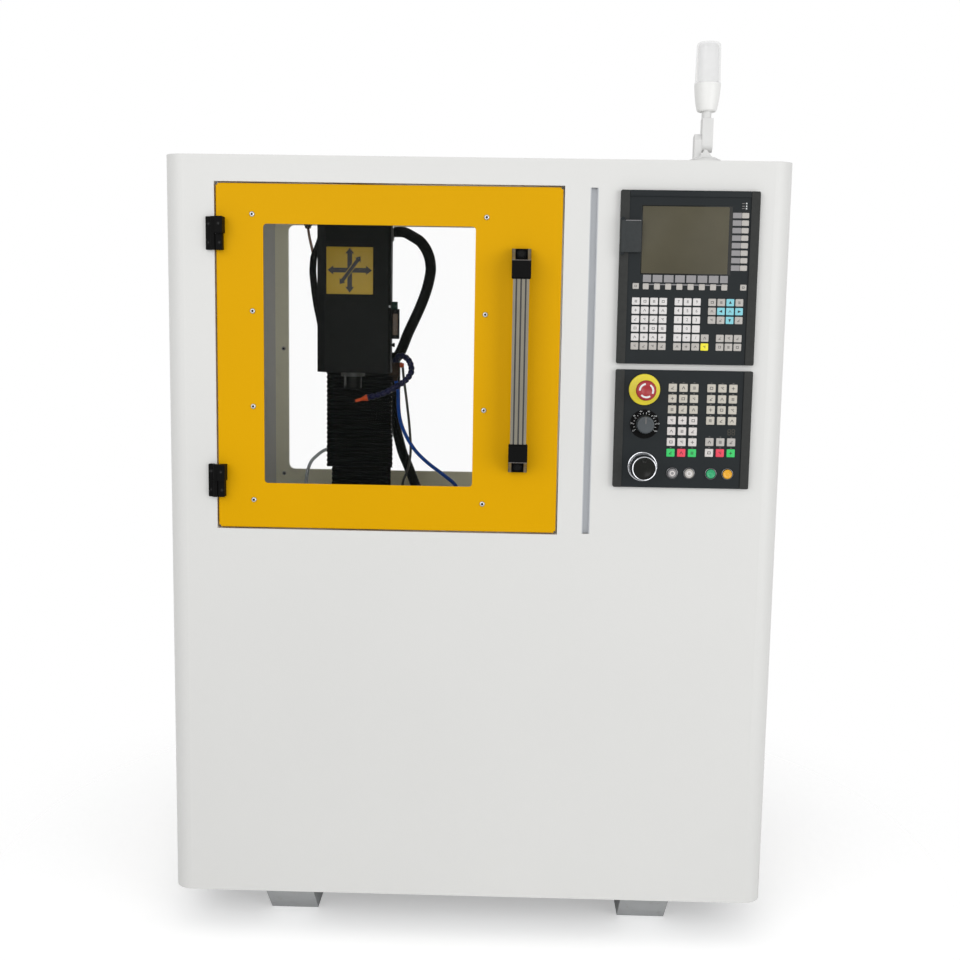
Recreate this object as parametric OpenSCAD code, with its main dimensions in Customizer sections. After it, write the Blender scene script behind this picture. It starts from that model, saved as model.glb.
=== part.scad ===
/* [Enclosure] */
// Width of the enclosure
enclosure_w = 1220; // [1200:10:1300]
// Depth of the enclosure
enclosure_d = 900; // [900:10:1000]
// Height of the enclosure's sheet metal above its runners
enclosure_h = 1496; // [1496:2:1560]
// Radius of the vertical front corners
corner_r = 38; // [20:1:60]
// Thickness of the enclosure's sheet steel
sheet_t = 2; // [1.5:0.5:3]
// Height of the runners
runner_h = 80; // [60:5:120]
// Width of a runner
runner_w = 100; // [80:5:120]
// Distance from the middle to a runner's centre line
runner_x = 372; // [300:5:420]

/* [Door] */
// Width of the door
door_w = 674; // [660:2:680]
// Height of the door
door_h = 675; // [660:5:675]
// Height of the door's lower edge above the enclosure's lower edge
door_z = 767; // [767:1:780]
// Gap between the door and its opening
door_gap = 3; // [2:0.5:5]
// Depth of the door's folded edges
door_depth = 25; // [20:1:30]
// Radius of the door's folds
fold_r = 3; // [2:0.5:4]
// Width of the window opening
window_w = 413.5; // [380:1:420]
// Height of the window opening
window_h = 508; // [480:2:520]
// Thickness of the window pane
pane_t = 4; // [3:1:6]

/* [Controls] */
// Distance that the control housings stand out from the front
housing_proud = 12; // [8:1:16]
// Width of the control housings
housing_w = 266; // [260:1:270]
// Height that a key stands out from its housing
key_proud = 1.2; // [0.8:0.2:2]
// Distance that the handwheel stands out from the front
handwheel_proud = 50; // [40:1:60]
// Distance that the emergency stop stands out from the front
estop_proud = 48; // [44:1:60]

/* [Machine] */
// Length of the table
table_l = 420; // [360:10:420]
// Width of the table
table_w = 125; // [100:5:125]
// Height of the table's top above the enclosure's lower edge
table_top = 774; // [774:1:780]
// Radius of the ball screws
screw_r = 8; // [6:1:8]
// Depth of one fold of the way cover
pleat_depth = 16; // [10:1:16]
// Number of folds of the way cover
pleat_count = 37; // [20:1:40]

/* [Hidden] */
$fn = 48;

// Frame: x from the middle, y from front_y at the front face, z from the runners' underside.
front_y = -435;
roof_h = enclosure_h - sheet_t;
rear_d = enclosure_d - sheet_t;
return_d = 90;

paint = [0.86, 0.86, 0.85];
panel_grey = [0.70, 0.71, 0.73];
steel = [0.62, 0.64, 0.66];
cast_grey = [0.36, 0.38, 0.40];
charcoal = [0.16, 0.17, 0.18];
black = [0.05, 0.05, 0.06];
yellow = [0.89, 0.68, 0.03];

door_x = [-507, -507 + door_w];
door_span_h = [door_z, door_z + door_h];
opening_x = [door_x[0] - door_gap, door_x[1] + door_gap];
opening_h = [door_z - door_gap, door_z + door_h + door_gap];
window_x = [-414.5, -414.5 + window_w];
window_span_h = [857, 857 + window_h];
window_r = 7;
rear_window_x = [-523, 120];
rear_window_h = [776, 1425];
rear_window_r = 16;
rear_screw_x = [-536, 133];
rear_screw_h = [764, 1100, 1436];
divider_x = 190;
side_flange = 18;
side_screw_x = enclosure_w / 2 - sheet_t - side_flange / 2;
panel_screws_at = concat(
    [for (side = [-1, 1], h = [30, 500, 980, 1460]) [side * side_screw_x, h]],
    [for (h = [500, 980, 1440]) [divider_x - side_flange / 2, h]],
    [for (side = [-1, 1]) [side * 190, 30]]
);
pane_screw_x = [-436, 20];
pane_screw_h = [823, 1009.5, 1196.5, 1383];

hinge_x = -509.6;
hinge_d = -12;
hinges_h = [[829, 894], [1313, 1377]];

handle_x = 88.5;
handle_h = [889.5, 1323.5];
handle_proud = 48;
bracket_w = 37;
bracket_l = 57;
bar_w = 31;

housing_x = [277, 277 + housing_w];
control_h = [1106.5, 1438];
machine_h = [864, 1095];
screen_x = [317.5, 491];
screen_h = [1278.6, 1410];
housing_d = 2 - housing_proud;
rail_w = 17;
estop_at = [333.5, 1056.5];
override_at = [335.7, 989];
handwheel_at = [334, 905.5];
button_x = [392.8, 425.9, 468.3, 500.9];
button_h = 893.5;

spindle_x = -287;
spindle_d = 385;
nose_h = 1027;
head_h = [1065, 1380];
cover_x = [-359.6, -195];
cover_d = [312, 357, 488];
cover_step = 13;
column_half = 62;
column_rail_x = 50;
rail_d = 531;
tray_h = 484;
bed_h = 612;
y_screw_h = 626;
x_screw_h = 704;
table_t = 44;
rail_size = 18;
rail_half = 10;
rail_gap = 0.4;

beacon_at = [446, 100];
beacon_pivot_h = 1540;
flap_t = 7.7;
flap_h = [1320, 1381];
flap_pin = [277.2 + flap_t / 2, -housing_proud - 0.3 - flap_t / 2];
switch_at = [480, 1250];
gland_at = [350, 220];

// Route points of the hoses and cables: x, depth behind the front face, height.
conduit_route = [
    [-213, 572, 1390], [-204, 572, 1390], [-196, 566, 1390], [-186, 552, 1388], [-176, 534, 1383.5],
    [-165, 514, 1377], [-154, 494, 1370.5], [-143, 476, 1363], [-134, 461, 1353], [-126, 450, 1341],
    [-119, 444, 1324], [-116, 441, 1307], [-116, 440, 1291], [-122, 441, 1261], [-131, 443, 1233],
    [-142, 446, 1206],
    [-155, 449, 1178], [-168, 452, 1150], [-179, 456, 1122], [-187, 459, 1105], [-194, 460, 1096],
    [-201, 460, 1092], [-207.9, 460, 1092]
];
left_cable_route = [
    [-467, 870, 1417], [-447, 770, 1386], [-426, 670, 1358], [-414, 610, 1344], [-404, 569, 1331]
];
left_conduit_route = [
    [-350, 606, 1389], [-373, 605, 1391], [-389, 600, 1383], [-394, 590, 1365], [-399, 578, 1346],
    [-404, 568, 1329], [-405, 560, 1309], [-404, 550, 1290], [-398, 530, 1260], [-393, 515, 1238],
    [-386, 500, 1209], [-379, 485, 1187], [-375, 478, 1172], [-371, 473, 1162], [-366, 470, 1157.5],
    [-359.7, 470, 1157.5]
];
coolant_route = [
    [-194, 430, 1053.9], [-194, 430, 1048], [-192, 436, 1037], [-189, 446, 1018], [-189, 456, 990],
    [-187, 465, 958], [-180, 475, 929], [-167, 485, 900], [-148, 498, 870], [-119, 516, 840],
    [-82, 538, 809], [-55, 560, 780], [-40, 595, 728], [-34, 630, 660], [-33, 645, 600],
    [-33, 648, 530]
];
sensor_route = [
    [-183.4, 432, 1079], [-180, 432, 1079], [-178, 440, 1073], [-177.5, 449, 1058], [-175, 456, 1034],
    [-171, 462, 1001], [-168, 468, 973], [-165, 473, 944], [-163, 480, 915], [-162, 490, 885],
    [-164, 500, 856], [-171, 514, 825], [-183, 530, 793], [-186, 545, 760], [-168, 568, 700],
    [-132, 590, 640], [-100, 599, 575], [-95, 600, 530]
];
rear_conduit_route = [
    [-217, 674, 1085], [-216, 674, 994], [-215, 673, 932], [-212, 670, 907], [-205, 666, 882],
    [-196, 660, 852], [-183, 654, 823], [-170, 648, 793], [-157, 645, 762], [-130, 648, 712],
    [-110, 650, 655], [-100, 650, 590], [-100, 650, 530]
];
drain_route = [
    [-358.5, 550, 870], [-370, 548, 868], [-382, 542, 862], [-394, 535, 852], [-403, 530, 843],
    [-409, 526, 831], [-414, 522, 813], [-416, 520, 790], [-421, 520, 740], [-433, 520, 660],
    [-447, 520, 590], [-452, 520, 530]
];
nozzle_route = [
    [-194, 428, 1084], [-191, 424, 1095], [-181, 418, 1101], [-170, 410, 1098], [-161, 400, 1091],
    [-155, 388, 1080], [-153, 376, 1067], [-159, 366, 1054], [-169, 356, 1044], [-182, 347, 1035],
    [-197, 340, 1026], [-214, 334, 1018], [-232, 331, 1013], [-248, 330, 1009]
];
nozzle_tip = [-274, 330, 1001];

// Places children in the machine's frame: x, depth behind the front face, height above the runners.
module placed() translate([0, front_y, runner_h]) children();

// A pair of values on either side of a middle value.
function about(middle, pair) = [middle + pair[0], middle + pair[1]];

// A box between two values along each axis.
module span(x, d, h) translate([x[0], d[0], h[0]]) cube([x[1] - x[0], d[1] - d[0], h[1] - h[0]]);

// A flat outline in x and height, t thick, with its front face at depth d.
module upright(d, t) translate([0, d + t, 0]) rotate([90, 0, 0]) linear_extrude(t) children();

// An outline in depth and height, extruded to the right from x for a length t.
module sideways(x, t) translate([x, 0, 0]) rotate([90, 0, 90]) linear_extrude(t) children();

// A disc or cone facing the front: at [x, h], from depth d, t long.
module disc(at, d, t, r, r_back = undef) translate([at[0], d, at[1]]) rotate([-90, 0, 0])
    cylinder(h = t, r1 = r, r2 = is_undef(r_back) ? r : r_back);

// Clearance holes for the rear panel's screws, from depth d, t long.
module panel_screw_holes(d, t) for (at = panel_screws_at) disc(at, d, t, 3.2);

// A rectangle with rounded corners between two values along each axis.
module rounded(x, h, r) {
    translate([x[0] + r, h[0]]) square([x[1] - x[0] - 2 * r, h[1] - h[0]]);
    translate([x[0], h[0] + r]) square([x[1] - x[0], h[1] - h[0] - 2 * r]);
    for (u = [x[0] + r, x[1] - r], v = [h[0] + r, h[1] - r])
        translate([u, v]) circle(r);
}

// A cylinder between two points.
module rod(a, b, r1, r2) {
    v = b - a;
    translate(a)
        rotate([0, acos(v[2] / norm(v)), atan2(v[1], v[0])])
            cylinder(h = norm(v), r1 = r1, r2 = r2, $fn = 24);
}

// The enclosure's plan with rounded front corners, inset from its outside, as deep as depth.
module plan(inset, depth) {
    half_w = enclosure_w / 2 - inset;
    translate([-half_w, corner_r]) square([2 * half_w, depth - corner_r]);
    translate([corner_r - enclosure_w / 2, inset]) square([enclosure_w - 2 * corner_r, depth - inset]);
    for (side = [-1, 1])
        translate([side * (enclosure_w / 2 - corner_r), corner_r]) circle(corner_r - inset);
}

// Tube swept along a route: rings stand square to the route's mean direction at each point, and each
// stretch between two route points can swell, as the links of a jointed hose do.
function unit(v) = v / norm(v);
function along(p, i) = unit(p[min(i + 1, len(p) - 1)] - p[max(i - 1, 0)]);
function across(t) = unit(cross(t, abs(t[1]) < 0.9 ? [0, 1, 0] : [0, 0, 1]));
function curve_point(p, i, t) =
    let(a = p[max(i - 1, 0)], b = p[i], c = p[i + 1], e = p[min(i + 2, len(p) - 1)])
    (2 * b + (c - a) * t + (2 * a - 5 * b + 4 * c - e) * t * t + (3 * b - a - 3 * c + e) * t * t * t) / 2;
function smooth(p, n) = concat(
    [for (i = [0 : len(p) - 2], k = [0 : n - 1]) curve_point(p, i, k / n)],
    [p[len(p) - 1]]
);
function end_direction(p, i) =
    i == 0 ? unit(p[1] - p[0]) : i == len(p) - 1 ? unit(p[i] - p[i - 1]) : along(p, i);
module tube(route, r, sides, steps = 1, swell = 0) {
    p = smooth(route, steps);
    n = len(p);
    points = [
        for (i = [0 : n - 1], k = [0 : sides - 1])
            let(t = end_direction(p, i), u = across(t), v = cross(t, u), a = 360 * k / sides)
            p[i] + (r + swell * (i % steps) / steps) * (cos(a) * u + sin(a) * v)
    ];
    walls = [
        for (i = [0 : n - 2], k = [0 : sides - 1])
            let(q = (k + 1) % sides)
            [(i + 1) * sides + k, (i + 1) * sides + q, i * sides + q, i * sides + k]
    ];
    start = [for (k = [0 : sides - 1]) k];
    finish = [for (k = [sides - 1 : -1 : 0]) (n - 1) * sides + k];
    polyhedron(points = points, faces = concat(walls, [start, finish]), convexity = 6);
}

// ---- Enclosure ----

module front_panel() placed() color(paint) {
    difference() {
        linear_extrude(roof_h) difference() {
            plan(0, return_d);
            plan(sheet_t, return_d + 1);
        }
        span(opening_x, [-1, sheet_t + 1], opening_h);
        span([219, 234.5], [-1, sheet_t + 1], opening_h + [door_gap, -door_gap]);
        span(housing_x + [13, -13], [-1, sheet_t + 1], control_h + [13, -13]);
        span(housing_x + [13, -13], [-1, sheet_t + 1], machine_h + [13, -13]);
    }
    difference() {
        span(opening_x + [-sheet_t, sheet_t], [0, door_depth], opening_h + [-sheet_t, sheet_t]);
        span(opening_x, [-1, door_depth + 1], opening_h);
    }
}

module left_side_panel() placed() color(paint) {
    inner_x = sheet_t - enclosure_w / 2;
    span([-enclosure_w / 2, inner_x], [return_d, rear_d], [0, roof_h]);
    difference() {
        span([inner_x, inner_x + side_flange], [rear_d - sheet_t, rear_d], [60, roof_h - 20]);
        panel_screw_holes(rear_d - sheet_t - 1, sheet_t + 2);
    }
}

module right_side_panel() placed() color(paint) {
    louvre_h = [for (row = [0 : 11]) 170 + 22 * row];
    louvre_d = [250, 450, 650];
    louvre_l = 140;
    outer_x = enclosure_w / 2;
    difference() {
        span([outer_x - sheet_t, outer_x], [return_d, rear_d], [0, roof_h]);
        for (h = louvre_h, d = louvre_d)
            span([outer_x - sheet_t - 1, outer_x + 1], [d, d + louvre_l], [h, h + 6]);
    }
    for (h = louvre_h, d = louvre_d)
        translate([outer_x, d + louvre_l, h + 14])
            rotate([90, 0, 0])
                linear_extrude(louvre_l)
                    polygon([[0, 0], [0, -2.5], [4.5, -9], [6, -9], [6, -8]]);
    difference() {
        span(
            [outer_x - sheet_t - side_flange, outer_x - sheet_t],
            [rear_d - sheet_t, rear_d], [60, roof_h - 20]
        );
        panel_screw_holes(rear_d - sheet_t - 1, sheet_t + 2);
    }
}

module roof_panel() placed() color(paint) {
    translate([0, 0, roof_h]) linear_extrude(sheet_t) plan(0, enclosure_d);
    for (d = [250, 700])
        difference() {
            span([-560, 560], [d, d + 40], [roof_h - 8, roof_h]);
            span([-561, 561], [d + sheet_t, d + 40 - sheet_t], [roof_h - 9, roof_h - sheet_t]);
        }
}

module rear_panel() placed() color(paint) difference() {
    span([-enclosure_w / 2, enclosure_w / 2], [rear_d, enclosure_d], [0, roof_h]);
    upright(rear_d - 1, sheet_t + 2) rounded(rear_window_x, rear_window_h, rear_window_r);
    disc(switch_at, rear_d - 1, sheet_t + 2, 12);
    disc(gland_at, rear_d - 1, sheet_t + 2, 12);
    panel_screw_holes(rear_d - 1, sheet_t + 2);
    for (row = [0 : 13])
        span([330, 450], [rear_d - 1, enclosure_d + 1], [960 + 9 * row, 964 + 9 * row]);
}

module base_frame() placed() color(steel) {
    tube_w = 50;
    wall = 3;
    half_w = enclosure_w / 2 - sheet_t;
    difference() {
        linear_extrude(tube_w) plan(sheet_t, rear_d);
        span([-half_w + tube_w, half_w - tube_w], [tube_w + wall, rear_d - tube_w], [-1, tube_w - wall]);
        panel_screw_holes(rear_d - 8, 9);
    }
    for (side = [-1, 1])
        span(about(side * runner_x, [-25, 25]), [tube_w, rear_d - tube_w + 1], [0, tube_w - 1]);
}

module runners() placed() color([0.42, 0.47, 0.53]) {
    wall = 4;
    bevel_wall = wall * sqrt(2);
    start_d = 14;
    end_d = enclosure_d - 14;
    for (side = [-1, 1]) {
        left_x = side * runner_x - runner_w / 2;
        difference() {
            sideways(left_x, runner_w) polygon([
                [start_d, 0], [start_d + runner_h, -runner_h],
                [end_d - runner_h, -runner_h], [end_d, 0]
            ]);
            sideways(left_x + wall, runner_w - 2 * wall) polygon([
                [start_d + bevel_wall + wall, -wall],
                [start_d + bevel_wall + runner_h - wall, wall - runner_h],
                [end_d - bevel_wall - runner_h + wall, wall - runner_h],
                [end_d - bevel_wall - wall, -wall]
            ]);
        }
    }
}

module machine_stand() placed() color(cast_grey) {
    x = about(spindle_x, [-180, 180]);
    d = [140, 740];
    wall = 4;
    difference() {
        span(x, d, [50, tray_h]);
        span(x + [wall, -wall], d + [wall, -wall], [49, tray_h - 12]);
    }
}

module chip_tray() placed() color(steel) {
    x = [8 - enclosure_w / 2, divider_x - 4];
    d = [34, 888];
    difference() {
        span(x, d, [tray_h, tray_h + 46]);
        span(x + [sheet_t, -sheet_t], d + [sheet_t, -sheet_t], [tray_h + sheet_t, tray_h + 47]);
        translate([145, 500, tray_h - 1]) cylinder(h = 4, r = 25);
    }
    for (end = [coolant_route, sensor_route, rear_conduit_route, drain_route]) {
        foot = end[len(end) - 1];
        translate([foot[0], foot[1], tray_h + sheet_t])
            cylinder(h = foot[2] - tray_h - sheet_t, r = end == rear_conduit_route ? 16 : 9);
    }
}

module divider_panel() placed() color(paint) {
    h = [tray_h + sheet_t, roof_h - 10];
    span([divider_x, divider_x + sheet_t], [sheet_t, rear_d], h);
    difference() {
        span([divider_x - side_flange, divider_x + 0.5], [rear_d - sheet_t, rear_d], h);
        panel_screw_holes(rear_d - sheet_t - 1, sheet_t + 2);
    }
}

module rear_frame() placed() color(paint) {
    x = rear_window_x + [-35, 35];
    h = rear_window_h + [-45, 45];
    front_d = rear_d - 8;
    difference() {
        upright(front_d, 4) rounded(x, h, 4);
        upright(front_d - 1, 6) rounded(rear_window_x, rear_window_h, rear_window_r);
        for (u = rear_screw_x, v = rear_screw_h) disc([u, v], front_d - 2, 8, 3.2);
    }
    difference() {
        span(x + [2, -2], [front_d + 4, rear_d], h + [2, -2]);
        span(x + [6, -6], [front_d + 3, rear_d + 1], h + [6, -6]);
    }
}

module rear_pane() placed() color([0.80, 0.88, 0.90, 0.4]) difference() {
    span(rear_window_x + [-29, 29], [rear_d - 4, rear_d], rear_window_h + [-39, 39]);
    for (u = rear_screw_x, v = rear_screw_h) disc([u, v], rear_d - 5, 6, 3.2);
}

module button_screw(at, d, facing) {
    head_r = 5.5;
    translate([at[0], d, at[1]]) rotate([facing * 90, 0, 0]) {
        cylinder(h = 3.2, r1 = head_r, r2 = 3.6);
        translate([0, 0, -7]) cylinder(h = 7.5, r = 3);
    }
}

module panel_screws() placed() color(steel) {
    for (u = rear_screw_x, v = rear_screw_h)
        button_screw([u, v], rear_d - 8, 1);
    for (at = panel_screws_at)
        button_screw(at, enclosure_d, -1);
}

module trim_strip() placed() color(panel_grey) difference() {
    span([219, 234.5], [0.3, 10], door_span_h);
    span([221, 232.5], [-1, 8], door_span_h + [-1, 1]);
}

module hinge_fixed_leaves() placed() color(black) for (h = hinges_h) {
    middle = (h[0] + h[1]) / 2;
    upright(-8, 8) rounded([-525, -513], h, 1.5);
    translate([hinge_x, hinge_d, h[0]]) {
        cylinder(h = middle - h[0] - 0.5, r = 5);
        translate([-8, 0, 0]) cube([8, 6, middle - h[0] - 0.5]);
    }
    translate([hinge_x, hinge_d, h[0]]) cylinder(h = h[1] - h[0] - 4, r = 2.5);
}

// ---- Control units ----

// A control housing: front plate with two raised side rails and a hollow box behind it.
module housing(h, bores) {
    difference() {
        union() {
            upright(housing_d, -housing_d) rounded(housing_x, h, 3);
            upright(-housing_proud, 2.5) {
                rounded([housing_x[0], housing_x[0] + rail_w], h, 3);
                rounded([housing_x[1] - rail_w, housing_x[1]], h, 3);
            }
            span(housing_x + [15, -15], [-1, 55], h + [15, -15]);
        }
        span(housing_x + [18, -18], [housing_d + 4, 56], h + [18, -18]);
        for (bore = bores)
            disc([bore[0], bore[1]], housing_d - 1, 6, bore[2]);
    }
}

module control_housing() placed() color(charcoal) {
    difference() {
        housing(control_h, []);
        span(screen_x, [housing_d - 1, housing_d + 1.5], screen_h);
    }
    for (h = [flap_h[0] - 5, flap_h[1] + 0.4])
        span(about(flap_pin[0], [-flap_t / 2, flap_t / 2]), [flap_pin[1] - flap_t / 2, -11], [h, h + 4.6]);
    translate([flap_pin[0], flap_pin[1], flap_h[0] - 3]) cylinder(h = flap_h[1] - flap_h[0] + 6, r = 1.5);
}

module screen() placed() color(black)
    upright(housing_d, 1.5) rounded(screen_x, screen_h, 2);

// One key cap: its lower left corner, width and height.
module key(x, h, w, t)
    upright(housing_d - key_proud, key_proud) rounded([x, x + w], [h, h + t], 1.5, $fn = 16);

// Columns and rows of keys: the left edge, the top edge, pitches, key size, counts.
module key_field(x, top, pitch_x, pitch_h, w, t, columns, rows)
    for (c = [0 : columns - 1], r = [0 : rows - 1])
        key(x + c * pitch_x, top - t - r * pitch_h, w, t);

module panel_keys() placed() color(panel_grey) {
    key_field(509, 1397.5, 1, 14.2, 13.5, 10.2, 1, 8);
    key_field(323.6, 1264.4, 21.6, 1, 11.5, 11.4, 8, 1);
    key_field(304, 1264.4, 207, 1, 12, 11.2, 2, 1);
    key_field(303.8, 1234.2, 17.6, 17.25, 14.8, 14, 4, 6);
    key_field(386.2, 1234.2, 17.65, 17.25, 14.8, 14, 3, 6);
    key_field(439.2, 1165.2, 1, 17.25, 14.8, 14, 1, 2);
    key_field(451.1, 1234, 17.4, 17, 14.8, 14, 4, 3);
    key_field(468.5, 1165.2, 17.25, 16.9, 14.8, 14, 3, 2);
    key_field(380.4, 1068.9, 21, 21.25, 16, 15.6, 3, 7);
    key_field(455.7, 1069, 21.2, 21.1, 16, 15.6, 3, 4);
    key_field(455.7, 963.8, 21.2, 21.4, 16, 15.6, 3, 2);
}

module panel_housing() placed() color(charcoal) {
    bores = concat(
        [[estop_at[0], estop_at[1], 12.5], [override_at[0], override_at[1], 6]],
        [[handwheel_at[0], handwheel_at[1], 6]],
        [for (x = button_x) [x, button_h, 7]]
    );
    housing(machine_h, bores);
}

module control_rings() placed() color(steel) {
    difference() {
        union() {
            disc(estop_at, housing_d - 4, 4, 30.5);
            disc(estop_at, housing_d - 13, 10, 15);
        }
        disc(estop_at, housing_d - 14, 15, 12.3);
    }
    difference() {
        disc(override_at, housing_d - 1.5, 1.5, 28.5);
        disc(override_at, housing_d - 2, 3, 6);
    }
    difference() {
        disc(handwheel_at, housing_d - 4, 4, 29.2);
        disc(handwheel_at, housing_d - 5, 6, 6);
    }
    for (x = button_x)
        difference() {
            disc([x, button_h], housing_d - 3, 3, 11.5);
            disc([x, button_h], housing_d - 4, 5, 9.6);
        }
}

module estop_button() placed() color([0.80, 0.12, 0.10]) {
    disc(estop_at, -estop_proud + 3, 14, 19.5);
    disc(estop_at, -estop_proud, 3, 15, 19.5);
    disc(estop_at, -estop_proud + 17, 35, 12, 12);
}

module override_knob() placed() color(charcoal) {
    disc(override_at, -36, 22, 16.5, 17.6);
    disc(override_at, -15, 30, 5.7);
    span([override_at[0] - 1, override_at[0] + 1], [-37, -35], [override_at[1], override_at[1] + 15]);
}

module handwheel() placed() color([0.75, 0.76, 0.78]) difference() {
    union() {
        disc(handwheel_at, -handwheel_proud, handwheel_proud + housing_d - 6, 23.7, 27.5);
        disc(handwheel_at, housing_d - 8, 22, 5.7);
    }
    disc(handwheel_at, -handwheel_proud - 1, 2, 21.5);
    disc(handwheel_at + [0, 14], -handwheel_proud - 1, 5, 5);
}

module push_button(x) placed() {
    disc([x, button_h], housing_d - 7, 3.7, 9.2);
    disc([x, button_h], housing_d - 4, 24, 6.6);
}
module button_clear() color([0.80, 0.82, 0.84]) push_button(button_x[0]);
module button_white() color([0.95, 0.95, 0.93]) push_button(button_x[1]);
module button_green() color([0.10, 0.60, 0.25]) push_button(button_x[2]);
module button_amber() color([0.90, 0.55, 0.10]) push_button(button_x[3]);

module cover_flap() placed() color(charcoal) difference() {
    union() {
        upright(flap_pin[1] - flap_t / 2, flap_t) {
            rounded([flap_pin[0] + 4, 317], flap_h, 2);
            translate([flap_pin[0], flap_h[0]]) square([8, flap_h[1] - flap_h[0]]);
        }
        translate([flap_pin[0], flap_pin[1], flap_h[0]]) cylinder(h = flap_h[1] - flap_h[0], r = flap_t / 2);
    }
    translate([flap_pin[0], flap_pin[1], flap_h[0] - 1]) cylinder(h = flap_h[1] - flap_h[0] + 2, r = 1.55);
}

// ---- Door ----

// Outline of the door's tray in one direction: a bar with rounded front edges.
module tray_profile(length) {
    translate([fold_r, 0]) square([length - 2 * fold_r, door_depth]);
    translate([0, fold_r]) square([length, door_depth - fold_r]);
    for (u = [fold_r, length - fold_r])
        translate([u, fold_r]) circle(fold_r);
}

module door_panel() placed() color(yellow) {
    inner_x = door_x + [sheet_t, -sheet_t];
    inner_h = door_span_h + [sheet_t, -sheet_t];
    difference() {
        intersection() {
            translate([door_x[0], 0, door_span_h[0]]) linear_extrude(door_h) tray_profile(door_w);
            translate([door_x[0], 0, door_span_h[0]])
                rotate([0, 0, 90]) rotate([90, 0, 0])
                    linear_extrude(door_w) mirror([1, -1, 0]) tray_profile(door_h);
        }
        span(inner_x, [sheet_t, door_depth + 1], inner_h);
        for (x = [door_x[0] - 1, door_x[1] - 4], h = [door_span_h[0] - 1, door_span_h[1] - 4])
            span([x, x + 5], [-1, door_depth + 1], [h, h + 5]);
        upright(-1, sheet_t + 2) rounded(window_x, window_span_h, window_r);
        for (u = pane_screw_x, v = pane_screw_h) disc([u, v], -1, sheet_t + 2, 3.1);
        for (h = handle_h + [11, -11]) disc([handle_x, h], -1, sheet_t + 2, 4);
    }
}

module door_pane() placed() color([0.80, 0.88, 0.90, 0.4]) difference() {
    upright(sheet_t, pane_t) rounded([-448, 32], [811, 1395], 6);
    for (u = pane_screw_x, v = pane_screw_h) disc([u, v], 0, 12, 3.1);
}

module pane_screws() placed() color(steel)
    for (u = pane_screw_x, v = pane_screw_h)
        button_screw([u, v], 0, 1);

module hinge_door_leaves() placed() color(black) for (h = hinges_h) {
    middle = (h[0] + h[1]) / 2;
    difference() {
        union() {
            upright(-16, 16) rounded([-504, -491.5], [h[0], middle], 1.5);
            upright(-24, 24) rounded([-504, -489], [middle, h[1]], 1.5);
            translate([hinge_x, hinge_d, middle]) cylinder(h = h[1] - middle, r = 5);
            span([hinge_x, -500], [hinge_d - 5, hinge_d + 4], [middle, h[1]]);
        }
        translate([hinge_x, hinge_d, middle - 1]) cylinder(h = h[1] - middle - 2.5, r = 2.55);
        translate([hinge_x, hinge_d, h[0] - 1]) cylinder(h = middle - h[0] + 1, r = 5.6);
    }
}

module handle_bar() placed() color([0.70, 0.71, 0.73]) {
    bar_h = handle_h + [bracket_l, -bracket_l];
    difference() {
        span(about(handle_x, [-bar_w / 2, bar_w / 2]), [-handle_proud, -handle_proud + 16], bar_h);
        for (x = [-9, 0, 9])
            span(about(handle_x + x, [-1.5, 1.5]), [-handle_proud - 1, -handle_proud + 2], bar_h + [-1, 1]);
    }
}

// Side outline of a handle bracket: foot on the door, curved outer end, block that carries the bar.
module bracket_profile() polygon([
    [0, 0], [0, 32], [-10, 36], [-24, 40], [-31, 48], [-32, bracket_l], [-handle_proud, bracket_l],
    [-handle_proud - 2, bracket_l - 2], [-handle_proud - 2, 23.5], [-handle_proud, 22], [-38, 18.5],
    [-27, 12], [-19, 5], [-15, 0]
]);

module handle_brackets() placed() color(black) for (upper = [false, true])
    translate([0, 0, upper ? handle_h[1] : handle_h[0]])
        mirror([0, 0, upper ? 1 : 0]) {
            difference() {
                sideways(handle_x - bracket_w / 2, bracket_w) bracket_profile();
                span(about(handle_x, [-11.5, 11.5]), [-60, -12], [2.5, 21.5]);
            }
            difference() {
                disc([handle_x, 11.5], -20, 12, 6.8);
                disc([handle_x, 11.5], -21, 6, 3.6);
            }
        }

// ---- Signal lamp ----

module beacon_base() placed() translate([beacon_at[0], beacon_at[1], 0]) color(cast_grey) {
    translate([4, 0, enclosure_h]) {
        cylinder(h = 12, r = 32);
        translate([0, 0, 12]) cylinder(h = 5, r1 = 30, r2 = 22);
    }
    for (rib = [[-22, 30], [18, 25]])
        translate([0, 0, enclosure_h])
            upright(rib[0], 4)
                polygon([[-22, 11], [30, 11], [15, 17], [4, rib[1]], [0, rib[1]], [-9, 17]]);
    sideways(-19, 14) polygon([
        [-14, enclosure_h + 10], [-14, beacon_pivot_h + 6], [-6, beacon_pivot_h + 18],
        [12, beacon_pivot_h + 14], [14, enclosure_h + 10]
    ]);
}

module beacon_arm() placed() translate([beacon_at[0], beacon_at[1], 0]) color(cast_grey) {
    x = [-4.7, 16.5];
    sideways(x[0], x[1] - x[0]) {
        translate([0, beacon_pivot_h - 2]) circle(15);
        translate([-15, beacon_pivot_h - 2]) square([30, 50]);
    }
    translate([4, 0, beacon_pivot_h + 48]) cylinder(h = 14, r = 9.5);
}

module beacon_lamp() placed() translate([beacon_at[0] + 4, beacon_at[1], 0]) color([0.92, 0.92, 0.92])
    rotate_extrude() polygon([
        [0, 1602], [17.5, 1602], [19.6, 1604.5], [22.3, 1616], [24.3, 1630], [25.6, 1645], [26, 1655],
        [0, 1655]
    ]);

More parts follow.
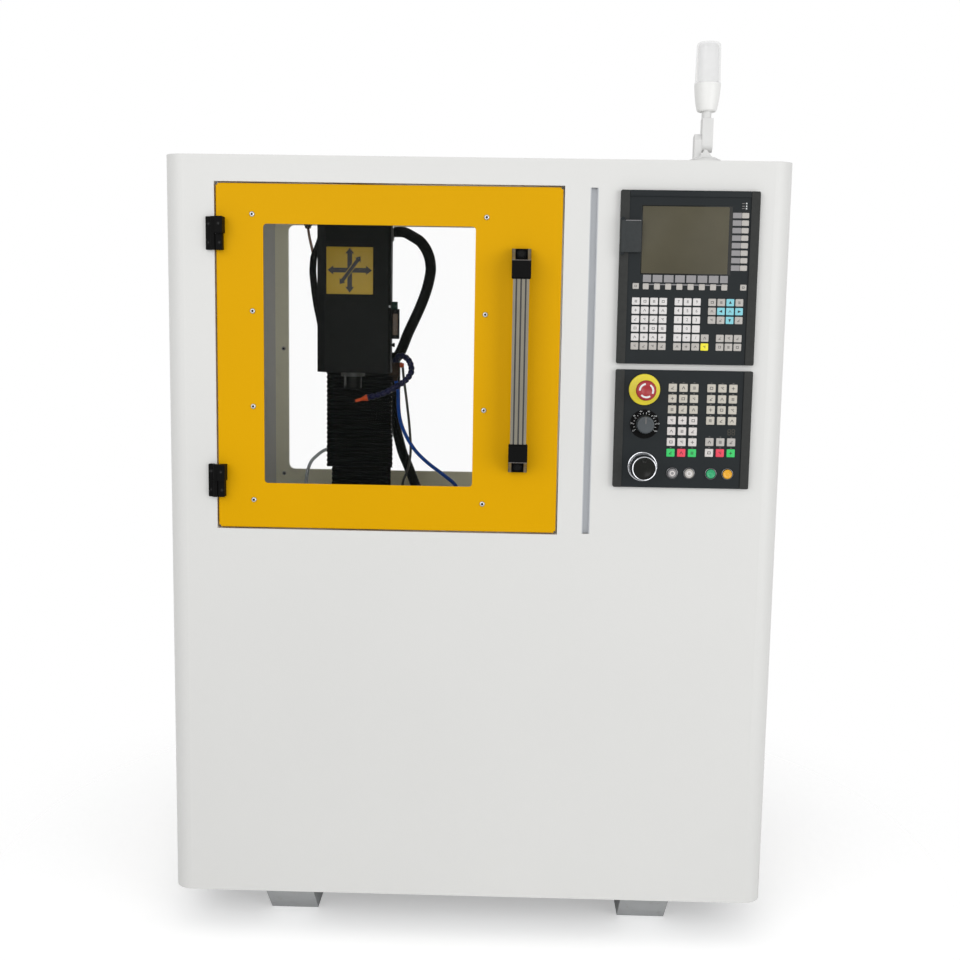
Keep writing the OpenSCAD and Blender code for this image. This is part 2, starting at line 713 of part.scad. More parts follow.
module beacon_lens() placed() translate([beacon_at[0] + 4, beacon_at[1], 0]) color([0.9, 0.95, 0.95, 0.5])
    rotate_extrude() difference() {
        polygon([
            [0, 1655], [25.6, 1655], [25.2, 1660], [24.4, 1700], [23.9, 1728], [22.8, 1732], [20, 1734],
            [12, 1735.4], [0, 1736]
        ]);
        polygon([[-1, 1654], [21.6, 1654], [20.6, 1726], [17, 1730], [-1, 1732]]);
    }

// ---- Machine ----

module base_casting() placed() color(cast_grey) {
    difference() {
        translate([0, 670, 0]) rotate([90, 0, 0]) linear_extrude(454) polygon([
            [spindle_x - 150, tray_h + 2], [spindle_x + 150, tray_h + 2], [spindle_x + 130, 520],
            [spindle_x + 130, bed_h], [spindle_x - 130, bed_h], [spindle_x - 130, 520]
        ]);
        span(about(spindle_x, [-22, 22]), [236, 520], [bed_h - 12, bed_h + 1]);
    }
    for (side = [-1, 1])
        span(
            about(spindle_x + side * 90, [-rail_half, rail_half]),
            [238, 515], [bed_h - 1, bed_h + rail_size]
        );
    for (d = [216, 503])
        difference() {
            span(about(spindle_x, [-25, 25]), [d, d + 16], [bed_h - 13, 638]);
            disc([spindle_x, y_screw_h], d - 1, 18, screw_r + 0.05);
        }
}

module column() placed() color(cast_grey) {
    x = about(spindle_x, [-column_half, column_half]);
    difference() {
        union() {
            span(x, [540, 660], [bed_h, 1400]);
            span(about(spindle_x, [-90, 90]), [530, 670], [bed_h, 640]);
        }
        for (h = [[650, 880], [895, 1130], [1145, 1388]])
            span(x + [12, -12], [554, 661], h);
    }
    for (side = [-1, 1])
        span(
            about(spindle_x + side * column_rail_x, [-rail_half, rail_half]),
            [rail_d - 9, 541], [694, 1392]
        );
    difference() {
        span(about(spindle_x, [-22, 22]), [519, 541], [660, 684]);
        translate([spindle_x, rail_d, 659]) cylinder(h = 26, r = screw_r + 0.05);
    }
    difference() {
        span(about(spindle_x, [-45, 45]), [498, 560], [1398, 1408]);
        translate([spindle_x, rail_d, 1397]) cylinder(h = 12, r = screw_r + 0.05);
    }
    translate([x[1] - 1, 572, 1384]) rotate([0, 90, 0]) cylinder(h = 13, r = 16);
    translate([x[0] - 9, 550, 870]) rotate([0, 90, 0]) cylinder(h = 10, r = 8);
}

// An axis motor, w square and l long, standing on the origin with its connector block at the back.
module servo(w, l) {
    translate([-w / 2, -w / 2, 0]) cube([w, w, 8]);
    translate([-w / 2 + 3, -w / 2 + 3, 0]) cube([w - 6, w - 6, l]);
    translate([-10, w / 2 - 4, l - 28]) cube([20, 16, 20]);
}

module axis_motors() placed() color(black) {
    translate([spindle_x, rail_d, 1408]) servo(58, 74);
    translate([spindle_x, 216, y_screw_h]) rotate([90, 0, 0]) servo(58, 80);
}

module x_motor() placed() color(black)
    translate([spindle_x + 210, spindle_d, x_screw_h]) rotate([0, 0, 90]) rotate([90, 0, 0]) servo(58, 80);

module saddle() placed() color(cast_grey) {
    span(about(spindle_x, [-130, 130]), about(spindle_d, [-70, 70]), [640, 672]);
    for (side = [-1, 1], d = [-60, 20])
        difference() {
            span(about(spindle_x + side * 90, [-22, 22]), about(spindle_d + d, [0, 40]), [bed_h + 2, 641]);
            span(
                about(spindle_x + side * 90, [-rail_half - rail_gap, rail_half + rail_gap]),
                about(spindle_d + d, [-1, 41]), [bed_h, bed_h + rail_size + rail_gap]
            );
        }
    for (side = [-1, 1], x = [-105, 45])
        difference() {
            span(about(spindle_x + x, [0, 60]), about(spindle_d + side * 42, [-20, 20]), [671, 728]);
            span(
                about(spindle_x + x, [-1, 61]),
                about(spindle_d + side * 42, [-rail_half - rail_gap, rail_half + rail_gap]),
                [table_top - table_t - rail_size - rail_gap, 729]
            );
        }
    difference() {
        span(about(spindle_x, [-15, 15]), about(spindle_d, [-20, 20]), [671, 722]);
        translate([spindle_x - 16, spindle_d, x_screw_h])
            rotate([0, 90, 0]) cylinder(h = 32, r = screw_r + 0.05);
    }
    difference() {
        span(about(spindle_x, [-20, 20]), about(spindle_d, [-15, 15]), [bed_h + 2, 641]);
        disc([spindle_x, y_screw_h], spindle_d - 16, 32, screw_r + 0.05);
    }
}

module table() placed() color(steel) {
    x = spindle_x - table_l / 2;
    bottom = table_top - table_t;
    difference() {
        span([x, x + table_l], about(spindle_d, [-table_w / 2, table_w / 2]), [bottom, table_top]);
        for (d = [-38, 0, 38]) {
            span([x - 1, x + table_l + 1], about(spindle_d + d, [-6, 6]), [table_top - 12, table_top + 1]);
            span([x - 1, x + table_l + 1], about(spindle_d + d, [-10, 10]), [table_top - 21, table_top - 12]);
        }
    }
    for (side = [-1, 1])
        span(
            [x + 5, x + table_l - 5], about(spindle_d + side * 42, [-rail_half, rail_half]),
            [bottom - rail_size, bottom + 1]
        );
    for (end_x = [x, x + table_l - 10])
        difference() {
            span([end_x, end_x + 10], about(spindle_d, [-20, 20]), [x_screw_h - 22, bottom + 1]);
            translate([end_x - 1, spindle_d, x_screw_h])
                rotate([0, 90, 0]) cylinder(h = 12, r = screw_r + 0.05);
        }
}

module z_screw() placed() color(steel)
    translate([spindle_x, rail_d, 661]) cylinder(h = 1406 - 661, r = screw_r);
module y_screw() placed() color(steel)
    disc([spindle_x, y_screw_h], 217, 301, screw_r);
module x_screw() placed() color(steel)
    translate([spindle_x - 209, spindle_d, x_screw_h]) rotate([0, 90, 0]) cylinder(h = 418, r = screw_r);

module head_casting() placed() color(cast_grey) {
    difference() {
        union() {
            span(about(spindle_x, [-68, 68]), [486, 519.5], head_h);
            span(about(spindle_x, [-58, 58]), [332, 487], [head_h[0], 1190]);
            translate([spindle_x, spindle_d, head_h[0] - 11]) cylinder(h = 12, r = 26.5);
        }
        translate([spindle_x, spindle_d, 1050]) cylinder(h = 141, r = 18.05);
    }
    for (side = [-1, 1], h = [1080, 1310])
        difference() {
            span(about(spindle_x + side * column_rail_x, [-20, 20]), [519, 538], [h, h + 60]);
            span(
                about(spindle_x + side * column_rail_x, [-rail_half - rail_gap, rail_half + rail_gap]),
                [rail_d - 9 - rail_gap, 539], [h - 1, h + 61]
            );
        }
    difference() {
        span(about(spindle_x, [-20, 20]), [519, 538], [1200, 1240]);
        translate([spindle_x, rail_d, 1199]) cylinder(h = 42, r = screw_r + 0.05);
    }
}

// Plan of the head's folded cover, inset from its outside: two chamfered front corners, the right side
// stepped inwards behind the front.
module cover_plan(inset) {
    fold = inset * tan(22.5);
    polygon([
        [cover_x[0] + inset, cover_d[0] + 19 + fold], [cover_x[0] + 19 + fold, cover_d[0] + inset],
        [cover_x[1] - 5.5 - fold, cover_d[0] + inset], [cover_x[1] - inset, cover_d[0] + 5.5 + fold],
        [cover_x[1] - inset, cover_d[1] - inset], [cover_x[1] - cover_step - inset, cover_d[1] - inset],
        [cover_x[1] - cover_step - inset, cover_d[2] + inset], [cover_x[0] + inset, cover_d[2] + inset]
    ]);
}

module head_cover() placed() color(charcoal) {
    top = 1434;
    difference() {
        translate([0, 0, head_h[0]]) linear_extrude(top - head_h[0]) cover_plan(0);
        translate([0, 0, head_h[0] - 1]) linear_extrude(top - sheet_t - head_h[0] + 1) cover_plan(sheet_t);
    }
    span([cover_x[1] - 0.5, cover_x[1] + 17], [329, 345], [1141, 1206]);
}

module spindle_motor() placed() color(black) translate([spindle_x, spindle_d, 0]) {
    translate([-58, -50, 1190]) cube([116, 100, 10]);
    translate([0, 0, 1200]) cylinder(h = 170, r = 50);
    translate([0, 0, 1370]) cylinder(h = 40, r = 45);
}

module spindle() placed() color(steel) translate([spindle_x, spindle_d, 0]) difference() {
    union() {
        translate([0, 0, nose_h]) cylinder(h = 26.7, r = 20);
        translate([0, 0, nose_h + 26]) cylinder(h = 136, r = 18);
    }
    translate([0, 0, nose_h - 1]) cylinder(h = 40, r1 = 11, r2 = 7);
}

module coolant_nozzle() placed() color([0.10, 0.16, 0.36]) {
    last = nozzle_route[len(nozzle_route) - 1];
    span([cover_x[1] - cover_step, cover_x[1] + 11.5], [416, 442], [1054, 1085]);
    tube(nozzle_route, 4.6, 12, 4, 2.4);
    rod(last, nozzle_tip, 6.6, 2.6);
}

// Pleated sheet in front of the column's rails, from the bed up to the head.
module way_cover() placed() color(black) {
    bottom = 650;
    top = head_h[0];
    front = 500;
    pitch = (top - bottom - 8) / pleat_count;
    split = floor(pleat_count * 0.44);
    upper_x = [-364, -207];
    lower_x = [-352, -211];
    for (section = [[lower_x, 0, split], [upper_x, split, pleat_count]]) {
        start = bottom + 4 + section[1] * pitch;
        folds = section[2] - section[1];
        sideways(section[0][0], section[0][1] - section[0][0]) polygon(concat(
            [for (i = [0 : 2 * folds]) [front + (i % 2) * pleat_depth, start + i * pitch / 2]],
            [for (i = [2 * folds : -1 : 0]) [front + 1.5 + (i % 2) * pleat_depth, start + i * pitch / 2]]
        ));
    }
    span(lower_x, [front, 518], [bottom, bottom + 4]);
    span(upper_x, [front, 518], [top - 4, top]);
}

// ---- Services ----

module electrical_plate() placed() color(panel_grey) {
    plate_x = [divider_x + sheet_t, divider_x + sheet_t + 3];
    span(plate_x, [120, 860], [520, 1450]);
    for (i = [0 : 3])
        span([194, 310], [160 + 90 * i, 230 + 90 * i], [1120, 1330]);
    span([194, 290], [560, 800], [1120, 1330]);
    for (h = [560, 1050, 1390])
        span([194, 254], [150, 830], [h, h + 40]);
    for (h = [680, 860]) {
        span([194, 202], [160, 820], [h, h + 35]);
        for (i = [0 : 11])
            span([200, 270], [180 + 50 * i, 225 + 50 * i], [h - 25, h + 60]);
    }
}

module coolant_tank() placed() color(steel) {
    x = [100, 540];
    d = [150, 800];
    h = [50, 354];
    wall = 3;
    difference() {
        span(x, d, h);
        span(x + [wall, -wall], d + [wall, -wall], h + [wall, -wall]);
        span([110, 230], [400, 600], [h[1] - wall - 1, h[1] + 1]);
    }
    translate([450, 650, h[1] - 1]) cylinder(h = 111, r = 45);
    translate([450, 650, h[1] + 105]) cylinder(h = 20, r = 40);
}

module rear_fittings() placed() color(charcoal) {
    difference() {
        upright(enclosure_d, 4) rounded(about(switch_at[0], [-33, 33]), about(switch_at[1], [-33, 33]), 4);
        disc(switch_at, enclosure_d - 1, 6, 8);
    }
    disc(gland_at, enclosure_d, 5, 15);
    disc(gland_at, enclosure_d + 5, 15, 13, 10);
}

module main_switch() placed() color([0.80, 0.12, 0.10]) {
    disc(switch_at, enclosure_d + 4.3, 10, 24, 22);
    span(about(switch_at[0], [-6, 6]), about(enclosure_d, [14, 30]), about(switch_at[1], [-22, 22]));
    disc(switch_at, enclosure_d - 10, 15, 7.9);
}

module upper_cables() placed() color(black) {
    tube(conduit_route, 12.5, 10);
    tube(left_cable_route, 3.5, 8);
    tube(left_conduit_route, 8.3, 10);
}

module lower_hoses() placed() color([0.10, 0.25, 0.60]) {
    tube(coolant_route, 4.4, 8);
    tube(sensor_route, 3, 8);
}

module fixed_hoses() placed() color(black) {
    tube(rear_conduit_route, 12.5, 10);
    tube(drain_route, 4, 8);
}

front_panel();
left_side_panel();
right_side_panel();
roof_panel();
rear_panel();
base_frame();
runners();
machine_stand();
chip_tray();
divider_panel();
rear_frame();
rear_pane();
panel_screws();
trim_strip();
hinge_fixed_leaves();
control_housing();
screen();
panel_keys();
panel_housing();
control_rings();
beacon_base();
base_casting();
column();
axis_motors();
electrical_plate();
coolant_tank();
rear_fittings();
way_cover();
upper_cables();
lower_hoses();
fixed_hoses();
door_panel();
door_pane();
pane_screws();
hinge_door_leaves();
handle_bar();
handle_brackets();
head_casting();
head_cover();
spindle_motor();
coolant_nozzle();
spindle();
saddle();
table();
x_motor();
z_screw();
y_screw();
x_screw();
estop_button();
override_knob();
handwheel();
button_clear();
button_white();
button_green();
button_amber();
cover_flap();
main_switch();
beacon_arm();
beacon_lamp();
beacon_lens();
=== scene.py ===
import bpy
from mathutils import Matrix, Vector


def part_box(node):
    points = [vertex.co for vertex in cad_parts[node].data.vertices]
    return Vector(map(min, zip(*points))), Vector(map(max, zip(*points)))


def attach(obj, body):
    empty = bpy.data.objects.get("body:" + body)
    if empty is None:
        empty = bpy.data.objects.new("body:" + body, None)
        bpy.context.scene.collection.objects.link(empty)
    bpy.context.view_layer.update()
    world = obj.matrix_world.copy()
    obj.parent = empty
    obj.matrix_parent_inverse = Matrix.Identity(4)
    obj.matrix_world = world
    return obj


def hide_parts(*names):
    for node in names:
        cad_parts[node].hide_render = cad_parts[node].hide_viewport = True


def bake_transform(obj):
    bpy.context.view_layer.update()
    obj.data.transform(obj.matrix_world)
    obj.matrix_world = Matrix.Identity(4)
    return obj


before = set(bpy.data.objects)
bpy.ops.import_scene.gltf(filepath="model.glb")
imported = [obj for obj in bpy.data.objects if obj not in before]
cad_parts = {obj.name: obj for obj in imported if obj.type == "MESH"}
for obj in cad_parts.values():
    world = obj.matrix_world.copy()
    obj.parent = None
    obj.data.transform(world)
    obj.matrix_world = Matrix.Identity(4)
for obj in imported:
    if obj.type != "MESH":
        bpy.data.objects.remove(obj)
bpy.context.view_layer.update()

import math

import bmesh
import bpy
from mathutils import Matrix, Vector

scene = bpy.context.scene

# ---- Frame: x from the middle, depth behind the front face, height above the runners, in metres ----

front_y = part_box("front_panel")[0].y
base_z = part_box("front_panel")[0].z
FRONT = Vector((0, -1, 0))
BACK = Vector((0, 1, 0))
UP = Vector((0, 0, 1))
DOWN = Vector((0, 0, -1))
RIGHT = Vector((1, 0, 0))


def at(x, d, h):
    """A point from its place across, its depth and its height."""
    return Vector((x, front_y + d, base_z + h))


def depth_of(y):
    return y - front_y


def height_of(z):
    return z - base_z


# ---- Camera ----

pitch, yaw, roll = math.radians(7.42), math.radians(1.28), math.radians(0.92)
forward = Vector((-math.sin(yaw) * math.cos(pitch), math.cos(yaw) * math.cos(pitch), -math.sin(pitch)))
level = Vector((math.cos(yaw), math.sin(yaw), 0))
upright = level.cross(forward)
across = level * math.cos(roll) + upright * math.sin(roll)
above = upright * math.cos(roll) - level * math.sin(roll)
camera = bpy.data.objects.new("camera", bpy.data.cameras.new("camera"))
camera.data.sensor_width = 36
camera.data.lens = 46.95
camera.data.clip_start, camera.data.clip_end = 0.05, 60
turn = Matrix((across, above, -forward)).transposed().to_4x4()
camera.matrix_world = Matrix.Translation(at(0.07, -2.4645, 1.192)) @ turn
scene.collection.objects.link(camera)
scene.camera = camera

# ---- Gathering faces into pieces ----


class Shape:
    """Faces gathered by the functions below, until piece() makes them into an object and starts again."""

    def __init__(self):
        self.points, self.faces, self.slots, self.materials = [], [], [], []

    def add_points(self, points):
        """Adds points and returns the number of the first of them."""
        self.points += [tuple(p) for p in points]
        return len(self.points) - len(points)

    def add_faces(self, first, faces, material):
        """Adds faces whose corners are counted from the point numbered first."""
        if material not in self.materials:
            self.materials.append(material)
        self.faces += [[first + i for i in face] for face in faces]
        self.slots += [self.materials.index(material)] * len(faces)

    def add(self, points, faces, material):
        """Adds points, and faces whose corners are counted from the first of them."""
        self.add_faces(self.add_points(points), faces, material)

    def piece(self, name, body, crease=38):
        """Makes the object, with sharp edges where its faces meet at more than crease degrees."""
        mesh = bpy.data.meshes.new(name)
        mesh.from_pydata(self.points, [], self.faces)
        for material in self.materials:
            mesh.materials.append(material)
        mesh.polygons.foreach_set("material_index", self.slots)
        mesh.polygons.foreach_set("use_smooth", [True] * len(self.faces))
        work = bmesh.new()
        work.from_mesh(mesh)
        bmesh.ops.recalc_face_normals(work, faces=work.faces)
        work.to_mesh(mesh)
        work.free()
        mesh.set_sharp_from_angle(angle=math.radians(crease))
        made = bpy.data.objects.new(name, mesh)
        scene.collection.objects.link(made)
        if body:
            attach(made, body)
        self.__init__()
        return made


shape = Shape()


def lathe(centre, axis, rings, material, sides=32):
    """Turns rings of (radius, distance along the axis) round it. A third value gives the next band's
    material, and a fourth value, True, makes that ring a hexagon."""
    w = Vector(axis).normalized()
    u = w.orthogonal().normalized()
    v = w.cross(u)
    rings = [(*ring, None, None)[:4] for ring in rings]
    points, made = [], []
    for r, t, _, six in rings:
        count = sides if r else 1
        made.append(list(range(len(points), len(points) + count)))
        for k in range(count):
            a = 2 * math.pi * k / sides
            reach = r
            if six:
                reach = r * math.cos(math.pi / 6) / math.cos((a + math.pi / 6) % (math.pi / 3) - math.pi / 6)
            points.append(centre + w * t + (u * math.cos(a) + v * math.sin(a)) * reach)
    bands = {}
    for a, b, ring in zip(made, made[1:], rings):
        strip = bands.setdefault(ring[2] or material, [])
        for k in range(sides):
            corners = [a[k % len(a)], a[(k + 1) % len(a)], b[(k + 1) % len(b)], b[k % len(b)]]
            strip.append(list(dict.fromkeys(corners)))
    if len(made[0]) > 1:
        bands.setdefault(material, []).append(made[0][::-1])
    if len(made[-1]) > 1:
        bands.setdefault(rings[-1][2] or material, []).append(made[-1])
    first = shape.add_points(points)
    for kind, strip in bands.items():
        shape.add_faces(first, strip, kind)


def tube_faces(rings, n):
    """Faces of a closed tube through a number of rings of n points each."""
    faces = [[i * n + k, i * n + (k + 1) % n, (i + 1) * n + (k + 1) % n, (i + 1) * n + k]
             for i in range(rings - 1) for k in range(n)]
    return faces + [list(range(n))[::-1], [(rings - 1) * n + k for k in range(n)]]


def polar(x, h, r, angle):
    """The place at a distance r from a point, in the direction of an angle in degrees."""
    return x + r * math.cos(math.radians(angle)), h + r * math.sin(math.radians(angle))


def turned(outline, x, h, angle):
    """An outline turned by angle degrees and moved to a point."""
    c, s = math.cos(math.radians(angle)), math.sin(math.radians(angle))
    return [(x + u * c - v * s, h + u * s + v * c) for u, v in outline]


def rounded(x, h, r, steps):
    """Outline of a rectangle with rounded corners, anticlockwise from its lower right."""
    r = min(r, (x[1] - x[0]) / 2 - 1e-5, (h[1] - h[0]) / 2 - 1e-5)
    corners = ((x[1] - r, h[0] + r, -90), (x[1] - r, h[1] - r, 0),
               (x[0] + r, h[1] - r, 90), (x[0] + r, h[0] + r, 180))
    return [polar(cx, ch, r, begin + 90 * k / steps) for cx, ch, begin in corners for k in range(steps + 1)]


def plate(x, h, r, front, back, edge, material, steps=5):
    """A rounded plate between two depths, with its front edge rounded over."""
    rings = [(0, back)]
    for a in (0, math.pi / 4, math.pi / 2):
        rings.append((edge * (1 - math.cos(a)), front + edge * (1 - math.sin(a))))
    points = []
    for inset, d in rings:
        width, height = (x[0] + inset, x[1] - inset), (h[0] + inset, h[1] - inset)
        points += [at(u, d, v) for u, v in rounded(width, height, max(r - inset, 1e-4), steps)]
    shape.add(points, tube_faces(len(rings), 4 * (steps + 1)), material)


def print_on(outline, d, material, thick=0.00012):
    """A flat printed mark: an outline in x and height on a face at depth d."""
    n = len(outline)
    points = [at(u, d - thick, v) for u, v in outline] + [at(u, d + 0.0001, v) for u, v in outline]
    faces = [list(range(n)), [n + k for k in range(n)][::-1]]
    faces += [[k, (k + 1) % n, n + (k + 1) % n, n + k][::-1] for k in range(n)]
    shape.add(points, faces, material)


def bar(x, h, w, t, angle=0.0):
    """Outline of a bar w wide and t high about a point, turned by angle degrees."""
    return turned([(-w / 2, -t / 2), (w / 2, -t / 2), (w / 2, t / 2), (-w / 2, t / 2)], x, h, angle)


def arc_band(x, h, r, wide, begin, end, steps=14):
    """Outline of part of a ring between two angles in degrees."""
    angles = [begin + (end - begin) * k / steps for k in range(steps + 1)]
    outer, inner = ([polar(x, h, r + half, a) for a in angles] for half in (wide / 2, -wide / 2))
    return outer + inner[::-1]


def block(low, high, edge, material, steps=2):
    """A box between two corners with rounded edges."""
    work = bmesh.new()
    bmesh.ops.create_cube(work, size=1)
    size, middle = high - low, (high + low) / 2
    for v in work.verts:
        v.co = Vector((v.co.x * size.x, v.co.y * size.y, v.co.z * size.z)) + middle
    bmesh.ops.bevel(work, geom=list(work.edges), offset=edge, segments=steps, profile=0.5, affect="EDGES")
    work.verts.index_update()
    shape.add([v.co.copy() for v in work.verts], [[v.index for v in f.verts] for f in work.faces], material)
    work.free()


def span(x, d, h, edge, material, steps=2):
    """A box with rounded edges between values along each axis."""
    block(at(x[0], d[0], h[0]), at(x[1], d[1], h[1]), edge, material, steps)


def ribbon(skins, material, capped=False):
    """A thin sheet between two skins. Each skin is a list of (left point, right point) along the sheet."""
    n = len(skins[0])
    faces = []
    for k in range(n - 1):
        faces += [[a, a + 1, a + 3, a + 2] for a in (2 * k, 2 * n + 2 * k)]
        faces += [[a, a + 2, 2 * n + a + 2, 2 * n + a] for a in (2 * k, 2 * k + 1)]
    if capped:
        faces += [[0, 1, 2 * n + 1, 2 * n], [2 * n - 2, 2 * n - 1, 4 * n - 1, 4 * n - 2]]
    shape.add([point for skin in skins for pair in skin for point in pair], faces, material)


def numeral(text, x, h, size, d, material):
    """A number printed on a face at depth d, about a point."""
    curve = bpy.data.curves.new("numeral", "FONT")
    curve.body = text
    curve.size = size
    curve.align_x = curve.align_y = "CENTER"
    curve.resolution_u = 2
    holder = bpy.data.objects.new("numeral", curve)
    scene.collection.objects.link(holder)
    bpy.context.view_layer.update()
    flat = bpy.data.meshes.new_from_object(holder.evaluated_get(bpy.context.evaluated_depsgraph_get()))
    points = [at(x + v.co.x, d, h + v.co.y) for v in flat.vertices]
    shape.add(points, [list(p.vertices) for p in flat.polygons], material)
    bpy.data.objects.remove(holder)
    bpy.data.meshes.remove(flat)


def curve_through(route, steps):
    """Points of a smooth curve through a route."""
    out = []
    for i in range(len(route) - 1):
        a, b = route[max(i - 1, 0)], route[i]
        c, e = route[i + 1], route[min(i + 2, len(route) - 1)]
        for k in range(steps):
            t = k / steps
            out.append((2 * b + (c - a) * t + (2 * a - 5 * b + 4 * c - e) * t * t
                        + (3 * b - a - 3 * c + e) * t ** 3) / 2)
    out.append(route[-1])
    return out


class Route:
    """A smooth route with its length, and a frame that doesn't twist along it."""

    def __init__(self, points, steps=12):
        self.line = curve_through([at(*p) for p in points], steps)
        self.reach = [0.0]
        for a, b in zip(self.line, self.line[1:]):
            self.reach.append(self.reach[-1] + (b - a).length)
        self.length = self.reach[-1]
        self.sides = []
        side = (self.line[1] - self.line[0]).orthogonal().normalized()
        for i in range(len(self.line)):
            ahead = self.heading(i)
            side = (side - ahead * side.dot(ahead)).normalized()
            self.sides.append(side)

    def heading(self, i):
        a, b = self.line[max(i - 1, 0)], self.line[min(i + 1, len(self.line) - 1)]
        return (b - a).normalized()

    def place(self, s):
        """Point, side and other side of the route at a length along it."""
        s = min(max(s, 0.0), self.length)
        i = 0
        while i < len(self.reach) - 2 and self.reach[i + 1] < s:
            i += 1
        t = (s - self.reach[i]) / max(self.reach[i + 1] - self.reach[i], 1e-9)
        point = self.line[i].lerp(self.line[i + 1], t)
        ahead = self.heading(i).lerp(self.heading(i + 1), t).normalized()
        side = self.sides[i].lerp(self.sides[i + 1], t)
        side = (side - ahead * side.dot(ahead)).normalized()
        return point, side, ahead.cross(side)


def sweep(route, rings, material, sides):
    """A tube along a route through rings of (length along it, radius)."""
    points = []
    for s, r in rings:
        point, side, other = route.place(s)
        for k in range(sides):
            a = 2 * math.pi * k / sides
            points.append(point + (side * math.cos(a) + other * math.sin(a)) * r)
    shape.add(points, tube_faces(len(rings), sides), material)


def hose(name, body, rings, sizes, material, sides, points):
    """A piece that is one hose or cable, with rings of these sizes along the route through the points."""
    route = Route(points)
    sweep(route, rings(route.length, *sizes), material, sides)
    return shape.piece(name, body, 60)


def plain_rings(length, r, spacing=0.006):
    """Rings of a smooth hose or cable."""
    n = max(8, int(length / spacing))
    return [(length * k / n, r) for k in range(n + 1)]


def ribbed_rings(length, low, high, rib):
    """Rings of a corrugated conduit whose ribs repeat every rib."""
    rings = []
    for k in range(int(length / rib)):
        rings += [(rib * k, low), (rib * (k + 0.18), low), (rib * (k + 0.38), high), (rib * (k + 0.8), high)]
    return rings + [(length, low)]


# One link of a jointed hose: share of its length, and share of the way from waist to belly.
LINK_SHAPE = ((0.0, 0.0), (0.1, 0.0), (0.14, 0.55), (0.24, 0.85), (0.42, 1.0), (0.62, 0.95), (0.8, 0.7),
              (0.92, 0.35))


def link_rings(length, waist, belly, link):
    """Rings of a jointed hose: each link's ball sits in the next link's flared socket."""
    rings = [(link * (k + f), waist + (belly - waist) * g)
             for k in range(max(1, round(length / link))) for f, g in LINK_SHAPE]
    return [ring for ring in rings if ring[0] < length] + [(length, waist)]


# ---- Materials ----


def linear(*colour):
    """Linear colour of a colour written from 0 to 255."""
    shares = [v / 255 for v in colour]
    return (*(v / 12.92 if v <= 0.04045 else ((v + 0.055) / 1.055) ** 2.4 for v in shares), 1.0)


GLOSS_SPREAD = 0.07


def set_inputs(node, inputs):
    """Sets a node's inputs to values, or links them to the outputs given."""
    for key, value in inputs.items():
        if isinstance(value, bpy.types.NodeSocket):
            node.id_data.links.new(value, node.inputs[key])
        else:
            node.inputs[key].default_value = value


def add_node(tree, kind, inputs=None, **settings):
    """A new shader node with its settings and inputs."""
    node = tree.nodes.new("ShaderNode" + kind)
    for key, value in settings.items():
        setattr(node, key, value)
    set_inputs(node, inputs or {})
    return node


def finish(name, colour, rough, spread, cloud, grain, relief, metal=0.0, shine=0.5, stretch=(1, 1, 1),
           marks=0.0, marks_colour=None, **sockets):
    """A surface whose colour drifts by the share spread, in clouds, and whose gloss varies with a grain.
    cloud and grain are noise scales per metre, and relief is the grain's height in metres."""
    made = bpy.data.materials.new(name)
    made.use_nodes = True
    tree = made.node_tree
    place = add_node(tree, "TexCoord").outputs["Object"]
    scaled = add_node(tree, "Mapping", {"Scale": stretch, "Vector": place}).outputs["Vector"]
    drift = add_node(tree, "TexNoise", {"Scale": cloud, "Detail": 4.0, "Vector": place})
    tint = add_node(tree, "ValToRGB", {"Fac": drift.outputs["Fac"]})
    base = linear(*colour)[:3]
    for end, position, share in zip(tint.color_ramp.elements, (0.3, 0.7), (1 - spread, 1 + spread)):
        end.position = position
        end.color = (*(min(c * share, 1) for c in base), 1)
    fine = add_node(tree, "TexNoise", {"Scale": grain, "Detail": 3.0, "Vector": scaled}).outputs["Fac"]
    gloss = add_node(tree, "MapRange", {
        "To Min": max(rough - GLOSS_SPREAD, 0.02), "To Max": min(rough + GLOSS_SPREAD, 1), "Value": fine
    })
    bump = add_node(tree, "Bump", {"Strength": 1.0, "Distance": relief, "Height": fine})
    colour_out = tint.outputs["Color"]
    if marks > 0:
        blot = add_node(tree, "TexNoise", {
            "Scale": cloud * 5, "Detail": 8.0, "Roughness": 0.7, "Vector": place
        })
        where = add_node(tree, "MapRange", {
            "From Min": 0.55, "From Max": 0.75, "To Max": marks, "Value": blot.outputs["Fac"]
        })
        mixed = add_node(tree, "Mix", data_type="RGBA")
        set_inputs(mixed, {0: where.outputs["Result"], 6: colour_out, 7: linear(*marks_colour)})
        colour_out = mixed.outputs[2]
    set_inputs(tree.nodes["Principled BSDF"], {
        "Base Color": colour_out, "Metallic": metal, "Roughness": gloss.outputs["Result"],
        "Normal": bump.outputs["Normal"], "Specular IOR Level": shine,
        **{socket.replace("_", " "): value for socket, value in sockets.items()}
    })
    return made


white_coat = finish("white_coat", (221, 221, 219), 0.42, 0.012, 1.6, 520, 1.2e-4)
yellow_coat = finish("yellow_coat", (222, 166, 0), 0.4, 0.03, 1.8, 520, 1.2e-4, shine=0.05)
chamber_coat = finish("chamber_coat", (250, 247, 222), 0.5, 0.04, 3, 420, 1.2e-4, marks=0.25,
                      marks_colour=(140, 136, 118))
strip_coat = finish("strip_coat", (184, 187, 191), 0.4, 0.02, 6, 600, 1e-4)
runner_coat = finish("runner_coat", (174, 176, 177), 0.45, 0.06, 9, 300, 3e-4, marks=0.35,
                     marks_colour=(116, 102, 84))
cast_coat = finish("cast_coat", (70, 74, 72), 0.5, 0.12, 12, 140, 6e-4)
dark_coat = finish("dark_coat", (14, 15, 14), 0.5, 0.18, 8, 420, 1.5e-4, shine=0.05)
ground_steel = finish("ground_steel", (176, 178, 180), 0.3, 0.06, 14, 260, 8e-5, metal=1.0,
                      stretch=(1, 14, 14))
